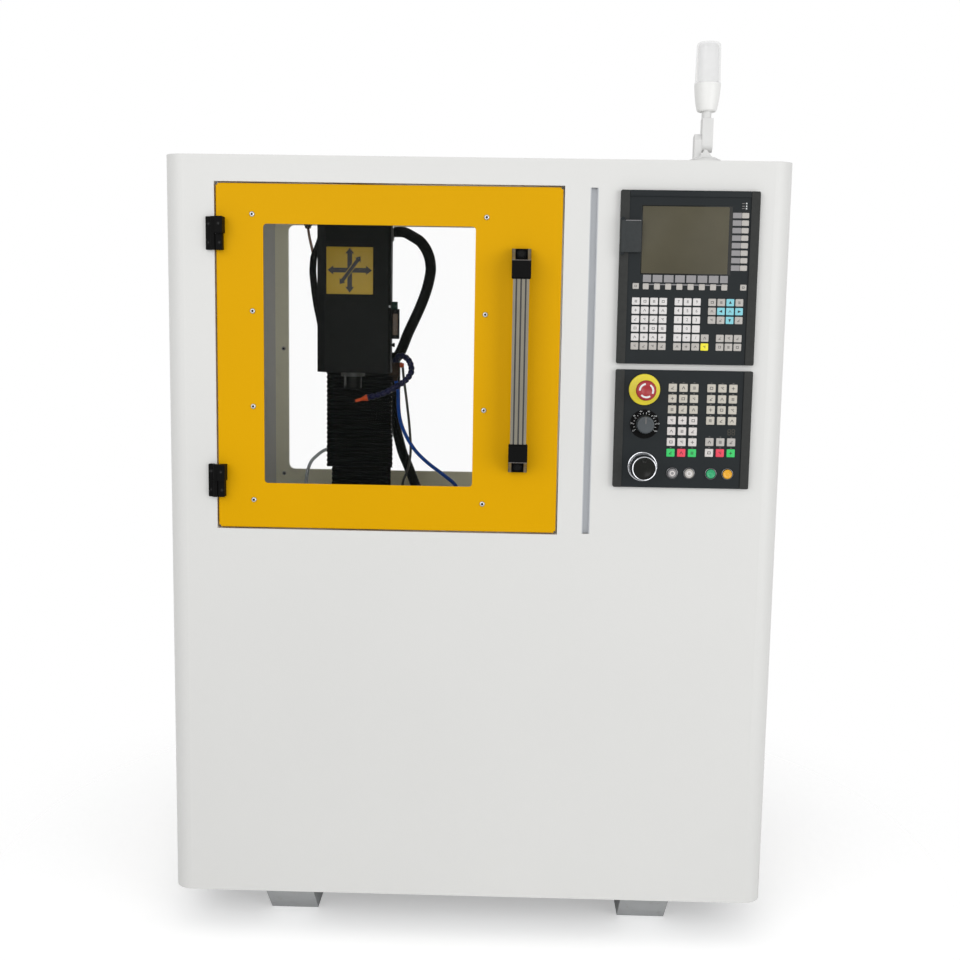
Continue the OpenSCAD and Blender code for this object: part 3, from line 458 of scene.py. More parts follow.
spindle_steel = finish("spindle_steel", (20, 20, 18), 0.4, 0.3, 30, 600, 1e-4, metal=1.0)
sheet_steel = finish("sheet_steel", (165, 167, 168), 0.42, 0.08, 5, 260, 1e-4, metal=1.0,
                     stretch=(8, 1, 1), marks=0.3, marks_colour=(120, 118, 112))
screw_steel = finish("screw_steel", (188, 190, 192), 0.26, 0.1, 60, 1500, 5e-5, metal=1.0)
socket_dark = finish("socket_dark", (10, 10, 10), 0.6, 0.1, 90, 1500, 5e-5)
black_mould = finish("black_mould", (8, 8, 8), 0.5, 0.12, 30, 1300, 2e-4, shine=0.06)
black_worn = finish("black_worn", (18, 18, 18), 0.45, 0.2, 50, 1000, 2e-4, shine=0.1)
# A light brownish grey painted on the handle brackets' sloped cheeks as a highlight.
bracket_highlight = finish("bracket_highlight", (106, 97, 78), 0.4, 0.22, 90, 1000, 2e-4, shine=0.3)
bezel_film = finish("bezel_film", (34, 38, 40), 0.46, 0.06, 14, 1700, 8e-5, shine=0.12)
rail_mould = finish("rail_mould", (54, 55, 54), 0.55, 0.07, 120, 950, 5e-4, shine=0.12)
flap_mould = finish("flap_mould", (56, 59, 60), 0.5, 0.05, 120, 950, 4e-4, shine=0.12)
# The keys' finishes by the letter that the key fields use.
KEYS = {letter: finish(name, colour, 0.5, spread, 40, 1500, 5e-5) for letter, name, colour, spread in (
    ("w", "key_white", (217, 214, 213), 0.02), ("g", "key_grey", (181, 177, 172), 0.03),
    ("c", "key_cyan", (130, 202, 214), 0.03), ("y", "key_yellow", (240, 228, 48), 0.03),
    ("b", "key_beige", (192, 187, 176), 0.03), ("l", "key_light", (211, 206, 203), 0.02),
    ("n", "key_green", (44, 196, 98), 0.04), ("r", "key_red", (230, 62, 86), 0.04)
)}
key_label = finish("key_label", (138, 136, 138), 0.45, 0.03, 40, 1500, 3e-5)
ink_dark, ink_mid, ink_key, ink_white, ink_dim = (
    finish(name, colour, 0.5, spread, 200, 1500, 3e-5) for name, colour, spread in (
        ("ink_dark", (10, 11, 12), 0.1), ("ink_mid", (128, 124, 122), 0.1), ("ink_key", (70, 68, 68), 0.1),
        ("ink_white", (222, 224, 224), 0.04), ("ink_dim", (74, 68, 56), 0.1)
    )
)
estop_yellow = finish("estop_yellow", (224, 208, 36), 0.35, 0.03, 40, 1200, 6e-5)
estop_red = finish("estop_red", (158, 26, 36), 0.3, 0.06, 60, 1200, 5e-5)
knob_mould = finish("knob_mould", (56, 62, 66), 0.42, 0.06, 60, 900, 2e-4)
chrome = finish("chrome", (205, 206, 210), 0.1, 0.05, 40, 1500, 2e-5, metal=1.0)
gloss_black = finish("gloss_black", (12, 14, 10), 0.12, 0.3, 60, 1500, 1e-5, shine=0.2)
brass = finish("brass", (52, 38, 28), 0.5, 0.4, 160, 900, 1.5e-4, metal=0.2, shine=0.1)
ring_steel = finish("ring_steel", (122, 122, 124), 0.22, 0.1, 60, 1500, 2e-5, metal=1.0)
lens_green = finish("lens_green", (30, 160, 104), 0.25, 0.08, 60, 1500, 3e-5)
lens_amber = finish("lens_amber", (232, 168, 24), 0.25, 0.08, 60, 1500, 3e-5)
orange_plastic = finish("orange_plastic", (226, 88, 34), 0.4, 0.06, 60, 900, 1e-4)
hose_navy = finish("hose_navy", (20, 22, 62), 0.4, 0.15, 60, 900, 1e-4, shine=0.2)
hose_blue = finish("hose_blue", (30, 84, 184), 0.35, 0.06, 30, 700, 6e-5, shine=0.2)
hose_black = finish("hose_black", (11, 10, 8), 0.5, 0.15, 20, 800, 1e-4, shine=0.08)
cable_grey = finish("cable_grey", (74, 74, 70), 0.45, 0.1, 40, 900, 1e-4)
cable_brown = finish("cable_brown", (142, 100, 80), 0.45, 0.1, 40, 900, 1e-4)
hose_clear = finish("hose_clear", (196, 204, 210), 0.2, 0.08, 40, 900, 3e-5, Transmission_Weight=0.2)
terminal_brown = finish("terminal_brown", (74, 58, 40), 0.5, 0.3, 160, 900, 1e-4)
terminal_green = finish("terminal_green", (8, 36, 28), 0.5, 0.1, 90, 900, 1e-4, shine=0.1)
label_yellow = finish("label_yellow", (176, 146, 20), 0.5, 0.05, 20, 900, 4e-5, marks=0.2,
                      marks_colour=(150, 130, 50))
aluminium = finish("aluminium", (128, 124, 112), 0.5, 0.09, 12, 420, 6e-5, metal=0.25, shine=0.15,
                   stretch=(12, 12, 1))
# Dark grey painted into the handle bar's grooves as shade.
groove_shade = finish("groove_shade", (36, 37, 40), 0.5, 0.1, 60, 900, 1e-4)
beacon_white = finish("beacon_white", (238, 238, 236), 0.35, 0.01, 30, 900, 5e-5)
beacon_mount = finish("beacon_mount", (222, 222, 221), 0.42, 0.03, 30, 700, 1e-4)
bellows_coat = finish("bellows_coat", (15, 15, 13), 0.8, 0.25, 30, 900, 2e-4, shine=0.04)
# The screen's olive-grey colour is a painted reflection of a bright room on the dark, switched-off display.
screen_reflection = finish("screen_reflection", (84, 80, 65), 0.25, 0.1, 9, 1500, 2e-5, shine=0.1)
pane_clear = finish("pane_clear", (120, 130, 126), 0.06, 0.05, 3, 60, 1e-5, Alpha=0.01)
lens_clear = finish("lens_clear", (240, 240, 240), 0.08, 0.02, 40, 300, 2e-5, Alpha=0.3)
tank_blue = finish("tank_blue", (120, 132, 150), 0.45, 0.08, 6, 300, 3e-4)
switch_red = finish("switch_red", (188, 32, 28), 0.35, 0.05, 40, 900, 1e-4)

# The finish of each node of the CAD model.
NODE_FINISH = {
    white_coat: "front_panel left_side_panel right_side_panel roof_panel rear_panel",
    sheet_steel: "base_frame chip_tray",
    runner_coat: "runners",
    cast_coat: "machine_stand base_casting column head_casting saddle",
    chamber_coat: "divider_panel rear_frame",
    pane_clear: "rear_pane door_pane",
    strip_coat: "trim_strip electrical_plate",
    black_mould: "hinge_fixed_leaves axis_motors rear_fittings hinge_door_leaves handle_brackets "
                 "spindle_motor x_motor",
    bezel_film: "control_housing panel_housing",
    beacon_mount: "beacon_base beacon_arm",
    tank_blue: "coolant_tank",
    yellow_coat: "door_panel",
    aluminium: "handle_bar",
    dark_coat: "head_cover",
    spindle_steel: "spindle",
    ground_steel: "table z_screw y_screw x_screw",
    flap_mould: "cover_flap",
    switch_red: "main_switch",
    beacon_white: "beacon_lamp button_white",
    lens_clear: "beacon_lens",
    screw_steel: "panel_screws pane_screws",
    screen_reflection: "screen",
    KEYS["g"]: "panel_keys",
    chrome: "control_rings handwheel button_clear",
    bellows_coat: "way_cover",
    hose_black: "upper_cables fixed_hoses",
    hose_blue: "lower_hoses",
    hose_navy: "coolant_nozzle",
    estop_red: "estop_button",
    knob_mould: "override_knob",
    KEYS["n"]: "button_green",
    orange_plastic: "button_amber",
}
for made, names in NODE_FINISH.items():
    for name in names.split():
        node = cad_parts[name]
        if not node.material_slots:
            node.data.materials.append(made)
        for slot in node.material_slots:
            slot.material = made

# ---- Hoses and cables, each held by the machine at both ends ----

# Radius between the ribs, radius on a rib, and distance from rib to rib.
BIG_CONDUIT = (0.0118, 0.0125, 0.0036)

piece = hose("head_conduit", None, ribbed_rings, BIG_CONDUIT, hose_black, 20, [
    (-0.213, 0.572, 1.39), (-0.204, 0.572, 1.39), (-0.196, 0.566, 1.39), (-0.186, 0.552, 1.388),
    (-0.176, 0.534, 1.3835), (-0.165, 0.514, 1.377), (-0.154, 0.494, 1.3705), (-0.143, 0.476, 1.363),
    (-0.134, 0.461, 1.353), (-0.126, 0.45, 1.341), (-0.119, 0.444, 1.324), (-0.116, 0.441, 1.307),
    (-0.116, 0.44, 1.291), (-0.122, 0.441, 1.261), (-0.131, 0.443, 1.233), (-0.142, 0.446, 1.206),
    (-0.155, 0.449, 1.178), (-0.168, 0.452, 1.15), (-0.179, 0.456, 1.122), (-0.187, 0.459, 1.105),
    (-0.194, 0.46, 1.096), (-0.201, 0.46, 1.092), (-0.2079, 0.46, 1.092)
])
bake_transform(piece)
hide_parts("upper_cables")

piece = hose("left_cable", "enclosure", plain_rings, (0.0035,), cable_brown, 12, [
    (-0.467, 0.87, 1.417), (-0.447, 0.77, 1.386), (-0.426, 0.67, 1.358), (-0.414, 0.61, 1.344),
    (-0.404, 0.569, 1.331)
])
piece = hose("left_conduit", None, ribbed_rings, (0.0077, 0.0083, 0.003), hose_black, 16, [
    (-0.35, 0.606, 1.389), (-0.373, 0.605, 1.391), (-0.389, 0.6, 1.383), (-0.394, 0.59, 1.365),
    (-0.399, 0.578, 1.346), (-0.404, 0.568, 1.329), (-0.405, 0.56, 1.309), (-0.404, 0.55, 1.29),
    (-0.398, 0.53, 1.26), (-0.393, 0.515, 1.238), (-0.386, 0.5, 1.209), (-0.379, 0.485, 1.187),
    (-0.375, 0.478, 1.172), (-0.371, 0.473, 1.162), (-0.366, 0.47, 1.1575), (-0.3597, 0.47, 1.1575)
])
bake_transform(piece)

piece = hose("coolant_hose", None, plain_rings, (0.0044,), hose_blue, 16, [
    (-0.194, 0.43, 1.0539), (-0.194, 0.43, 1.048), (-0.192, 0.436, 1.037), (-0.189, 0.446, 1.018),
    (-0.189, 0.456, 0.99), (-0.187, 0.465, 0.958), (-0.18, 0.475, 0.929), (-0.167, 0.485, 0.9),
    (-0.148, 0.498, 0.87), (-0.119, 0.516, 0.84), (-0.082, 0.538, 0.809), (-0.055, 0.56, 0.78),
    (-0.04, 0.595, 0.728), (-0.034, 0.63, 0.66), (-0.033, 0.645, 0.6), (-0.033, 0.648, 0.53)
])
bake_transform(piece)
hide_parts("lower_hoses")
piece = hose("sensor_cable", None, plain_rings, (0.003,), cable_grey, 12, [
    (-0.1834, 0.432, 1.079), (-0.18, 0.432, 1.079), (-0.178, 0.44, 1.073), (-0.1775, 0.449, 1.058),
    (-0.175, 0.456, 1.034), (-0.171, 0.462, 1.001), (-0.168, 0.468, 0.973), (-0.165, 0.473, 0.944),
    (-0.163, 0.48, 0.915), (-0.162, 0.49, 0.885), (-0.164, 0.5, 0.856), (-0.171, 0.514, 0.825),
    (-0.183, 0.53, 0.793), (-0.186, 0.545, 0.76), (-0.168, 0.568, 0.7), (-0.132, 0.59, 0.64),
    (-0.1, 0.599, 0.575), (-0.095, 0.6, 0.53)
])
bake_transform(piece)

piece = hose("rear_conduit", "enclosure", ribbed_rings, BIG_CONDUIT, hose_black, 20, [
    (-0.217, 0.674, 1.085), (-0.216, 0.674, 0.994), (-0.215, 0.673, 0.932), (-0.212, 0.67, 0.907),
    (-0.205, 0.666, 0.882), (-0.196, 0.66, 0.852), (-0.183, 0.654, 0.823), (-0.17, 0.648, 0.793),
    (-0.157, 0.645, 0.762), (-0.13, 0.648, 0.712), (-0.11, 0.65, 0.655), (-0.1, 0.65, 0.59),
    (-0.1, 0.65, 0.53)
])
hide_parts("fixed_hoses")
piece = hose("drain_hose", "enclosure", plain_rings, (0.004,), hose_clear, 16, [
    (-0.3585, 0.55, 0.87), (-0.37, 0.548, 0.868), (-0.382, 0.542, 0.862), (-0.394, 0.535, 0.852),
    (-0.403, 0.53, 0.843), (-0.409, 0.526, 0.831), (-0.414, 0.522, 0.813), (-0.416, 0.52, 0.79),
    (-0.421, 0.52, 0.74), (-0.433, 0.52, 0.66), (-0.447, 0.52, 0.59), (-0.452, 0.52, 0.53)
])

nozzle = Route([
    (-0.194, 0.428, 1.084), (-0.191, 0.424, 1.095), (-0.181, 0.418, 1.101), (-0.17, 0.41, 1.098),
    (-0.161, 0.4, 1.091), (-0.155, 0.388, 1.08), (-0.153, 0.376, 1.067), (-0.159, 0.366, 1.054),
    (-0.169, 0.356, 1.044), (-0.182, 0.347, 1.035), (-0.197, 0.34, 1.026), (-0.214, 0.334, 1.018),
    (-0.232, 0.331, 1.013), (-0.248, 0.33, 1.009)
])
nozzle_end, nozzle_tip = at(-0.248, 0.33, 1.009), at(-0.274, 0.33, 1.001)
sweep(nozzle, link_rings(nozzle.length, 0.0045, 0.0072, 0.0124), hose_navy, 18)
aim = (nozzle_tip - nozzle_end).normalized()
reach = (nozzle_tip - nozzle_end).length
lathe(nozzle_end, aim, [
    (0.0048, -0.004, orange_plastic), (0.0074, -0.001), (0.0074, 0.001), (0.0066, 0.003), (0.0044, 0.0105),
    (0.0036, 0.0125), (0.0031, reach), (0.0021, reach, socket_dark), (0.0018, reach - 0.005),
    (0, reach - 0.005)
], orange_plastic, 24)
start, side, other = nozzle.place(0.0)
lathe(start, nozzle.heading(0), [
    (0.0058, -0.002), (0.0078, 0.000), (0.008, 0.006), (0.007, 0.008), (0.005, 0.009)
], hose_navy, 24)
piece = shape.piece("coolant_joint_hose", "head", 45)

# ---- Pleated way cover ----

pleats, narrow_pleats = 37, 16
lower_x, upper_x = (-0.352, -0.211), (-0.364, -0.207)
crest_d, valley_d, cloth, foot_t = 0.501, 0.516, 0.0012, 0.004
stud_range = (0.895, 1.035)
cover_low, cover_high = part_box("way_cover")
low_h, high_h = height_of(cover_low.z), height_of(cover_high.z)
fold_start = low_h + foot_t
fold = (high_h - foot_t - fold_start) / pleats
# One fold from valley to valley over its rounded crest: depth and share of the fold's height.
fold_rows = [(valley_d, 0.00), (0.51, 0.16), (0.503, 0.36), (crest_d, 0.46),
             (crest_d, 0.54), (0.503, 0.64), (0.51, 0.84), (valley_d, 1.00)]
for i in range(pleats):
    left, right = lower_x if i < narrow_pleats else upper_x
    ribbon([[[at(x, d + behind, fold_start + fold * (i + t)) for x in (left, right)]
             for d, t in fold_rows] for behind in (0.0, cloth)], bellows_coat)
    middle = fold_start + fold * (i + 0.5)
    if stud_range[0] < middle < stud_range[1]:
        lathe(at(right - 0.002, 0.5008, middle), FRONT, [
            (0.0013, -0.0004), (0.0013, 0.0003), (0.0007, 0.0007), (0, 0.0007)
        ], screw_steel, 10)
for x, h in ((lower_x, (low_h, low_h + foot_t)), (upper_x, (high_h - foot_t, high_h))):
    span(x, (crest_d, 0.518), h, 0.0006, bellows_coat)
piece = shape.piece("pleated_cover", None, 50)
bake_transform(piece)
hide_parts("way_cover")

# ---- Screws ----


def hexagon(r, tall):
    """Rings of a hexagonal body that starts just inside what it is screwed to."""
    return [(r, -0.001, None, True), (r, tall, None, True)]


def button_head(centre, axis, r=0.0055, tall=0.0032):
    """A domed screw head with a hexagonal socket."""
    lathe(centre, axis, [
        (r, -0.0003), (r, tall * 0.16), (r * 0.95, tall * 0.46), (r * 0.82, tall * 0.76),
        (r * 0.62, tall * 0.96), (r * 0.54, tall), (r * 0.5, tall * 0.98, socket_dark, True),
        (r * 0.48, tall * 0.35, socket_dark, True), (0, tall * 0.3)
    ], screw_steel, 24)


def cap_head(centre, axis, r, tall, metal):
    """A cylindrical screw head with a hexagonal socket."""
    lathe(centre, axis, [
        (r, -0.0003), (r, tall * 0.86), (r * 0.94, tall), (r * 0.58, tall),
        (r * 0.54, tall * 0.97, socket_dark, True), (r * 0.52, tall * 0.3, socket_dark, True),
        (0, tall * 0.25)
    ], metal, 24)


for x in (-0.436, 0.02):
    for h in (0.823, 1.0095, 1.1965, 1.383):
        button_head(at(x, 0, h), FRONT)
piece = shape.piece("door_screws", "door")
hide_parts("pane_screws")

for x in (-0.536, 0.133):
    for h in (0.764, 1.1, 1.436):
        button_head(at(x, 0.89, h), FRONT)
rear_face = depth_of(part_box("rear_panel")[1].y)
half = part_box("rear_panel")[1].x - 0.011
spots = [(side * half, h) for side in (-1, 1) for h in (0.03, 0.5, 0.98, 1.46)]
spots += [(0.181, h) for h in (0.5, 0.98, 1.44)] + [(-0.19, 0.03), (0.19, 0.03)]
for x, h in spots:
    button_head(at(x, rear_face, h), BACK)
piece = shape.piece("panel_screw_heads", "enclosure")
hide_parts("panel_screws")

# ---- Hinges and handle ----

for body, x, depths in (("enclosure", -0.519, (-0.008, -0.008)), ("door", -0.4965, (-0.016, -0.024))):
    for low, high in ((0.829, 0.894), (1.313, 1.377)):
        for h, d in ((low + 0.014, depths[0]), (high - 0.014, depths[1])):
            cap_head(at(x, d, h), FRONT, 0.0034, 0.0012, black_worn)
    piece = shape.piece("hinge_screws_" + body, body)

handle_x, handle_h = 0.0885, (0.8895, 1.3235)
bracket_l, screw_up, groove_t = 0.057, 0.0115, 0.0014
brackets = ((handle_h[0], 1), (handle_h[1], -1))
for foot, way in brackets:
    lathe(at(handle_x, -0.0119, foot + way * screw_up), FRONT, [
        (0.0098, -0.0003), (0.0098, 0.001), (0.0092, 0.0015), (0.007, 0.0015)
    ], black_worn, 32)
    lathe(at(handle_x, -0.0198, foot + way * screw_up), FRONT, [
        (0.0066, -0.0004), (0.0066, 0.0001), (0.006, 0.0004), (0.0038, 0.0004),
        (0.0036, -0.005, socket_dark), (0, -0.0054)
    ], black_worn, 32)
    mouth = sorted((foot + way * (bracket_l - 0.0015), foot + way * (bracket_l + 0.0015)))
    span((handle_x - 0.0172, handle_x + 0.0172), (-0.049, -0.0312), mouth, 0.0008, black_mould)
piece = shape.piece("handle_fittings", "door")

# Painted highlights: light strips on the sloped cheeks at the curved end of each bracket, and a light line
# round the block that holds the bar, where these edges catch the light.
cheek = [(-0.05, 0.0235), (-0.0482, 0.0218), (-0.038, 0.0185), (-0.027, 0.012), (-0.019, 0.005),
         (-0.0152, 0.0004)]
for foot, way in brackets:
    for side in (-1, 1):
        inner, outer = handle_x + side * 0.0121, handle_x + side * 0.0179
        ribbon([[[at(x, d - lift, foot + way * (h - lift)) for x in (inner, outer)]
                 for d, h in cheek] for lift in (-0.0002, 0.0003)], bracket_highlight, capped=True)
    # A thin light strip round the block that holds the bar is a painted highlight on its edge.
    rim_highlight = sorted((foot + way * 0.0226, foot + way * 0.0234))
    span((handle_x - 0.018, handle_x + 0.018), (-0.0503, -0.0494), rim_highlight, 0.0002, ink_mid, 1)
piece = shape.piece("handle_highlights", "door")

# Dark strips at the bottoms of the bar's three grooves: painted shade in the recesses.
groove_h = (handle_h[0] + bracket_l + 0.001, handle_h[1] - bracket_l - 0.001)
for x in (handle_x - 0.009, handle_x, handle_x + 0.009):
    span((x - groove_t, x + groove_t), (-0.047, -0.0462), groove_h, 0.0002, groove_shade, 1)
piece = shape.piece("handle_groove_shade", "door")

# ---- Control units ----

housing_x = (0.277, 0.543)
control_h, machine_h = (1.1065, 1.438), (0.864, 1.095)
plate_d, rail_d, rail_w = -0.01, -0.012, 0.017
rail_front, rail_back = rail_d - 0.0003, plate_d + 0.0005
for h in (control_h, machine_h):
    for x in ((housing_x[0], housing_x[0] + rail_w), (housing_x[1] - rail_w, housing_x[1])):
        plate(x, h, 0.003, rail_front, rail_back, 0.0007, rail_mould)
plate((housing_x[0] + rail_w + 0.0005, housing_x[1] - rail_w - 0.0005),
      (control_h[1] - 0.012, control_h[1]), 0.002, rail_front, rail_back, 0.0007, bezel_film)
piece = shape.piece("housing_rails", "enclosure")

plate((0.2855, 0.3169), (1.3203, 1.3807), 0.001, rail_d - 0.0083, rail_d - 0.001, 0.001, flap_mould)
# A thin light grey strip along the flap's top edge is a painted highlight.
print_on(bar(0.3012, 1.3799, 0.029, 0.001), rail_d - 0.0083, key_label)
piece = shape.piece("flap_skin", "flap")

screen_x, screen_h = (0.3175, 0.491), (1.2786, 1.41)
plate(screen_x, screen_h, 0.001, plate_d - 0.0001, plate_d + 0.0013, 0.0002, gloss_black)
# The inner film carries the screen's painted reflection colour.
plate((screen_x[0] + 0.0022, screen_x[1] - 0.006), (screen_h[0] + 0.0022, screen_h[1] - 0.0022),
      0.001, plate_d - 0.0003, plate_d, 0.0001, screen_reflection)
piece = shape.piece("display", "enclosure")
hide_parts("screen")

side_top, side_pitch = 1.3975, 0.0142
soft_left, soft_pitch = 0.3236, 0.0216
# Key fields: left edge, top edge, pitches, key size, and each key's letter in KEYS, row by row.
UPPER_FIELDS = [
    (0.509, side_top, 0.001, side_pitch, 0.0135, 0.0102, ["g"] * 8),
    (soft_left, 1.2614, soft_pitch, 0.001, 0.0115, 0.0114, ["gggggggg"]),
    (0.304, 1.2617, 0.207, 0.001, 0.012, 0.0112, ["gg"]),
    (0.3038, 1.2342, 0.0176, 0.01725, 0.0148, 0.014, ["wwww"] * 5 + ["gggg"]),
    (0.3862, 1.2342, 0.01765, 0.01725, 0.0148, 0.014, ["www"] * 5 + ["ggg"]),
    (0.4392, 1.1652, 0.001, 0.01725, 0.0148, 0.014, ["g", "y"]),
    (0.4511, 1.234, 0.0174, 0.017, 0.0148, 0.014, ["ggcg", "gccc", "ggcg"]),
    (0.4685, 1.1652, 0.01725, 0.0169, 0.0148, 0.014, ["ggg", "ggg"]),
]
LOWER_FIELDS = [
    (0.3804, 1.0689, 0.021, 0.02125, 0.016, 0.0156, ["bbb"] * 3 + ["lll"] * 3 + ["nrn"]),
    (0.4557, 1.069, 0.0212, 0.0211, 0.016, 0.0156, ["bbb"] * 4),
    (0.4557, 0.9638, 0.0212, 0.0214, 0.016, 0.0156, ["ggg", "lrn"]),
]
KEY_TOP = plate_d - 0.0012


def keys_of(field):
    """Left edge, lower edge, width, height, colour letter, row and column of each key."""
    x0, top, pitch_x, pitch_h, w, t, rows = field
    for r, row in enumerate(rows):
        for c, letter in enumerate(row):
            yield x0 + c * pitch_x, top - t - r * pitch_h, w, t, letter, r, c


for field in UPPER_FIELDS + LOWER_FIELDS:
    for x, h, w, t, letter, r, c in keys_of(field):
        plate((x, x + w), (h, h + t), 0.0014, KEY_TOP, plate_d + 0.0003, 0.0005, KEYS[letter], 3)
piece = shape.piece("key_caps", "enclosure")
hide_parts("panel_keys")

# Legends: numbers on the number keys, arrows on the cursor keys, plain strokes on the others. Each stroke
# has its place, length and angle, with lengths as shares of the legend's size.
STROKES = [
    [(0, 0.32, 0.9, 0), (0, -0.32, 0.9, 0), (-0.38, 0, 0.7, 90), (0.38, 0, 0.7, 90)],
    [(0, 0, 1.0, 40), (-0.05, -0.38, 0.7, 0)],
    [(0, 0, 0.9, 0), (0, 0, 0.9, 90)],
    [(0, 0.3, 0.8, 0), (0, 0, 0.8, 0), (0, -0.3, 0.8, 0)],
    [(0, 0, 1.0, -40), (0.2, 0.3, 0.5, 0)],
    [(-0.2, 0, 0.9, 60), (0.2, 0, 0.9, -60)],
]
DIGITS = "789456123-0.=+/"
ARROWS = {(0, 2): 90, (1, 1): 180, (1, 3): 0, (2, 2): 270}


def print_strokes(x, h, size, kind, ink):
    """Plain strokes that stand for a key's printed symbol."""
    for u, v, long, angle in STROKES[kind % len(STROKES)]:
        print_on(bar(x + u * size, h + v * size, long * size, size * 0.16, angle), KEY_TOP, ink)


for n, field in enumerate(UPPER_FIELDS):
    for x, h, w, t, letter, r, c in keys_of(field):
        middle, centre = x + w / 2, h + t / 2
        if n == 4 and r < 5:
            numeral(DIGITS[r * 3 + c], middle, centre, 0.0082, KEY_TOP - 0.00012, ink_key)
        elif n == 6 and (r, c) in ARROWS:
            arrow = [polar(middle, centre, 0.0036, ARROWS[r, c] + a) for a in (0, 130, 230)]
            print_on(arrow, KEY_TOP, ink_dark)
        elif n >= 3:
            print_strokes(middle, centre, 0.0058, n * 7 + r * 5 + c * 3, ink_key)
        elif n == 2:
            print_strokes(middle, centre, 0.005, 0, ink_key)
for n, field in enumerate(LOWER_FIELDS):
    for x, h, w, t, letter, r, c in keys_of(field):
        middle, centre = x + w / 2, h + t / 2
        ink = ink_key if letter in "bgl" else ink_dark
        print_strokes(middle, centre, 0.0068, n * 5 + r * 7 + c * 4 + 1, ink)
        print_on(bar(middle, h + t + 0.0022, 0.0026, 0.001), plate_d, ink_mid)
# Grey labels beside the keys to the right of the screen, and above and between those under it.
for r in range(8):
    print_on(bar(0.5002, side_top - side_pitch * r - 0.0051, 0.0168, 0.0102), plate_d, key_label)
for c in range(8):
    x = soft_left + soft_pitch * c
    left, right = (x if c == 0 else x - 0.0028), (x + 0.0119 if c == 7 else x + 0.0156)
    print_on([(left, 1.264), (right, 1.264), (right, 1.2778), (left, 1.2778)], plate_d, key_label)
    if c < 7:
        print_on(bar(x + 0.0168, 1.2596, 0.01, 0.0018), plate_d, key_label)
# Three small lamps with their names, and two unlit digits of seven segments each.
for h in (1.415, 1.41, 1.4055):
    print_on(bar(0.517, h, 0.0024, 0.0024), plate_d, ink_white)
    print_on(bar(0.5108, h, 0.005, 0.001), plate_d, ink_mid)
segments = [(0, v, 0) for v in (0.0052, 0, -0.0052)]
segments += [(u, v, 90) for v in (0.0026, -0.0026) for u in (-0.0026, 0.0026)]
for x in (0.5018, 0.5098):
    for u, v, angle in segments:
        print_on(bar(x + u, 0.9757 + v, 0.004, 0.0009, angle), plate_d, ink_dim)
piece = shape.piece("panel_legends", "enclosure")

# ---- Emergency stop, override, handwheel and push buttons ----

estop_at, override_at, wheel_at = (0.3335, 1.0565), (0.3357, 0.989), (0.334, 0.9055)
button_x, button_h = (0.3928, 0.4259, 0.4683, 0.5009), 0.8935


def facing(centre, d):
    """The point at depth d on the axis of a round control."""
    return at(centre[0], d, centre[1])


def ribs(count, centre, r, d, reach, edge, material):
    """Small ribs round a knob, each reaching this far from its middle across, in depth and in height."""
    reach = Vector(reach)
    for k in range(count):
        x, h = polar(*centre, r, 360 * k / count)
        block(at(x, d, h) - reach, at(x, d, h) + reach, edge, material, 1)


lathe(facing(estop_at, plate_d), FRONT, [
    (0.0305, -0.0005), (0.0305, 0.0022), (0.0298, 0.0036), (0.028, 0.004), (0.0175, 0.0044),
    (0.016, 0.005), (0.0158, 0.013), (0.015, 0.0134), (0.0128, 0.0134, socket_dark), (0.0126, 0.002)
], estop_yellow, 64)
piece = shape.piece("estop_collar", "enclosure")
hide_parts("control_rings")

lathe(facing(estop_at, -0.048), BACK, [
    (0, 0.0012), (0.007, 0.0012), (0.0085, 0.0004), (0.01, 0), (0.015, 0.0002), (0.0175, 0.001),
    (0.019, 0.0026), (0.0197, 0.0056), (0.0195, 0.01), (0.0184, 0.014), (0.0168, 0.016),
    (0.013, 0.0168), (0.0119, 0.0172), (0.0119, 0.05)
], estop_red, 64)
for begin in (98, 335, 222):
    print_on(arc_band(*estop_at, 0.0128, 0.0034, begin, begin + 82), -0.0481, ink_white, 0.0002)
piece = shape.piece("estop_mushroom", "estop")
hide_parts("estop_button")

scale_start, scale_turn = 212, -244
lathe(facing(override_at, plate_d), FRONT, [
    (0.0285, -0.0003), (0.0285, 0.0009), (0.028, 0.0014), (0.0065, 0.0015), (0.0062, 0.0004)
], black_mould, 64)
for k in range(16):
    a = scale_start + scale_turn * k / 15
    long = 0.0036 if k % 2 == 0 else 0.0026
    x, h = polar(*override_at, 0.0198 + long / 2, a)
    print_on(bar(x, h, long, 0.0007, a), plate_d - 0.0015, ink_white)
for k in range(8):
    x, h = polar(*override_at, 0.0258, scale_start + scale_turn * k / 7)
    numeral(str(20 * k), x, h, 0.0042, plate_d - 0.0016, ink_white)
piece = shape.piece("override_scale", "enclosure")

lathe(facing(override_at, -0.0355), BACK, [
    (0, 0.0004), (0.012, 0.0003), (0.015, 0), (0.016, 0.0004), (0.0165, 0.0014), (0.0168, 0.008),
    (0.0171, 0.016), (0.0175, 0.021), (0.017, 0.0216), (0.0057, 0.0218), (0.0057, 0.046)
], knob_mould, 48)
print_on(bar(override_at[0], override_at[1] + 0.0085, 0.0012, 0.012), -0.0355, ink_mid, 0.0003)
ribs(24, override_at, 0.0172, -0.0245, (0.0005, 0.008, 0.0005), 0.0002, knob_mould)
piece = shape.piece("override_cap", "override")
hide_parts("override_knob")

lathe(facing(wheel_at, plate_d), FRONT, [
    (0.0292, -0.0004), (0.0292, 0.003), (0.0286, 0.0038), (0.0276, 0.004), (0.0268, 0.0034),
    (0.0064, 0.0032), (0.0062, 0.0004)
], chrome, 64)
piece = shape.piece("handwheel_ring", "enclosure")

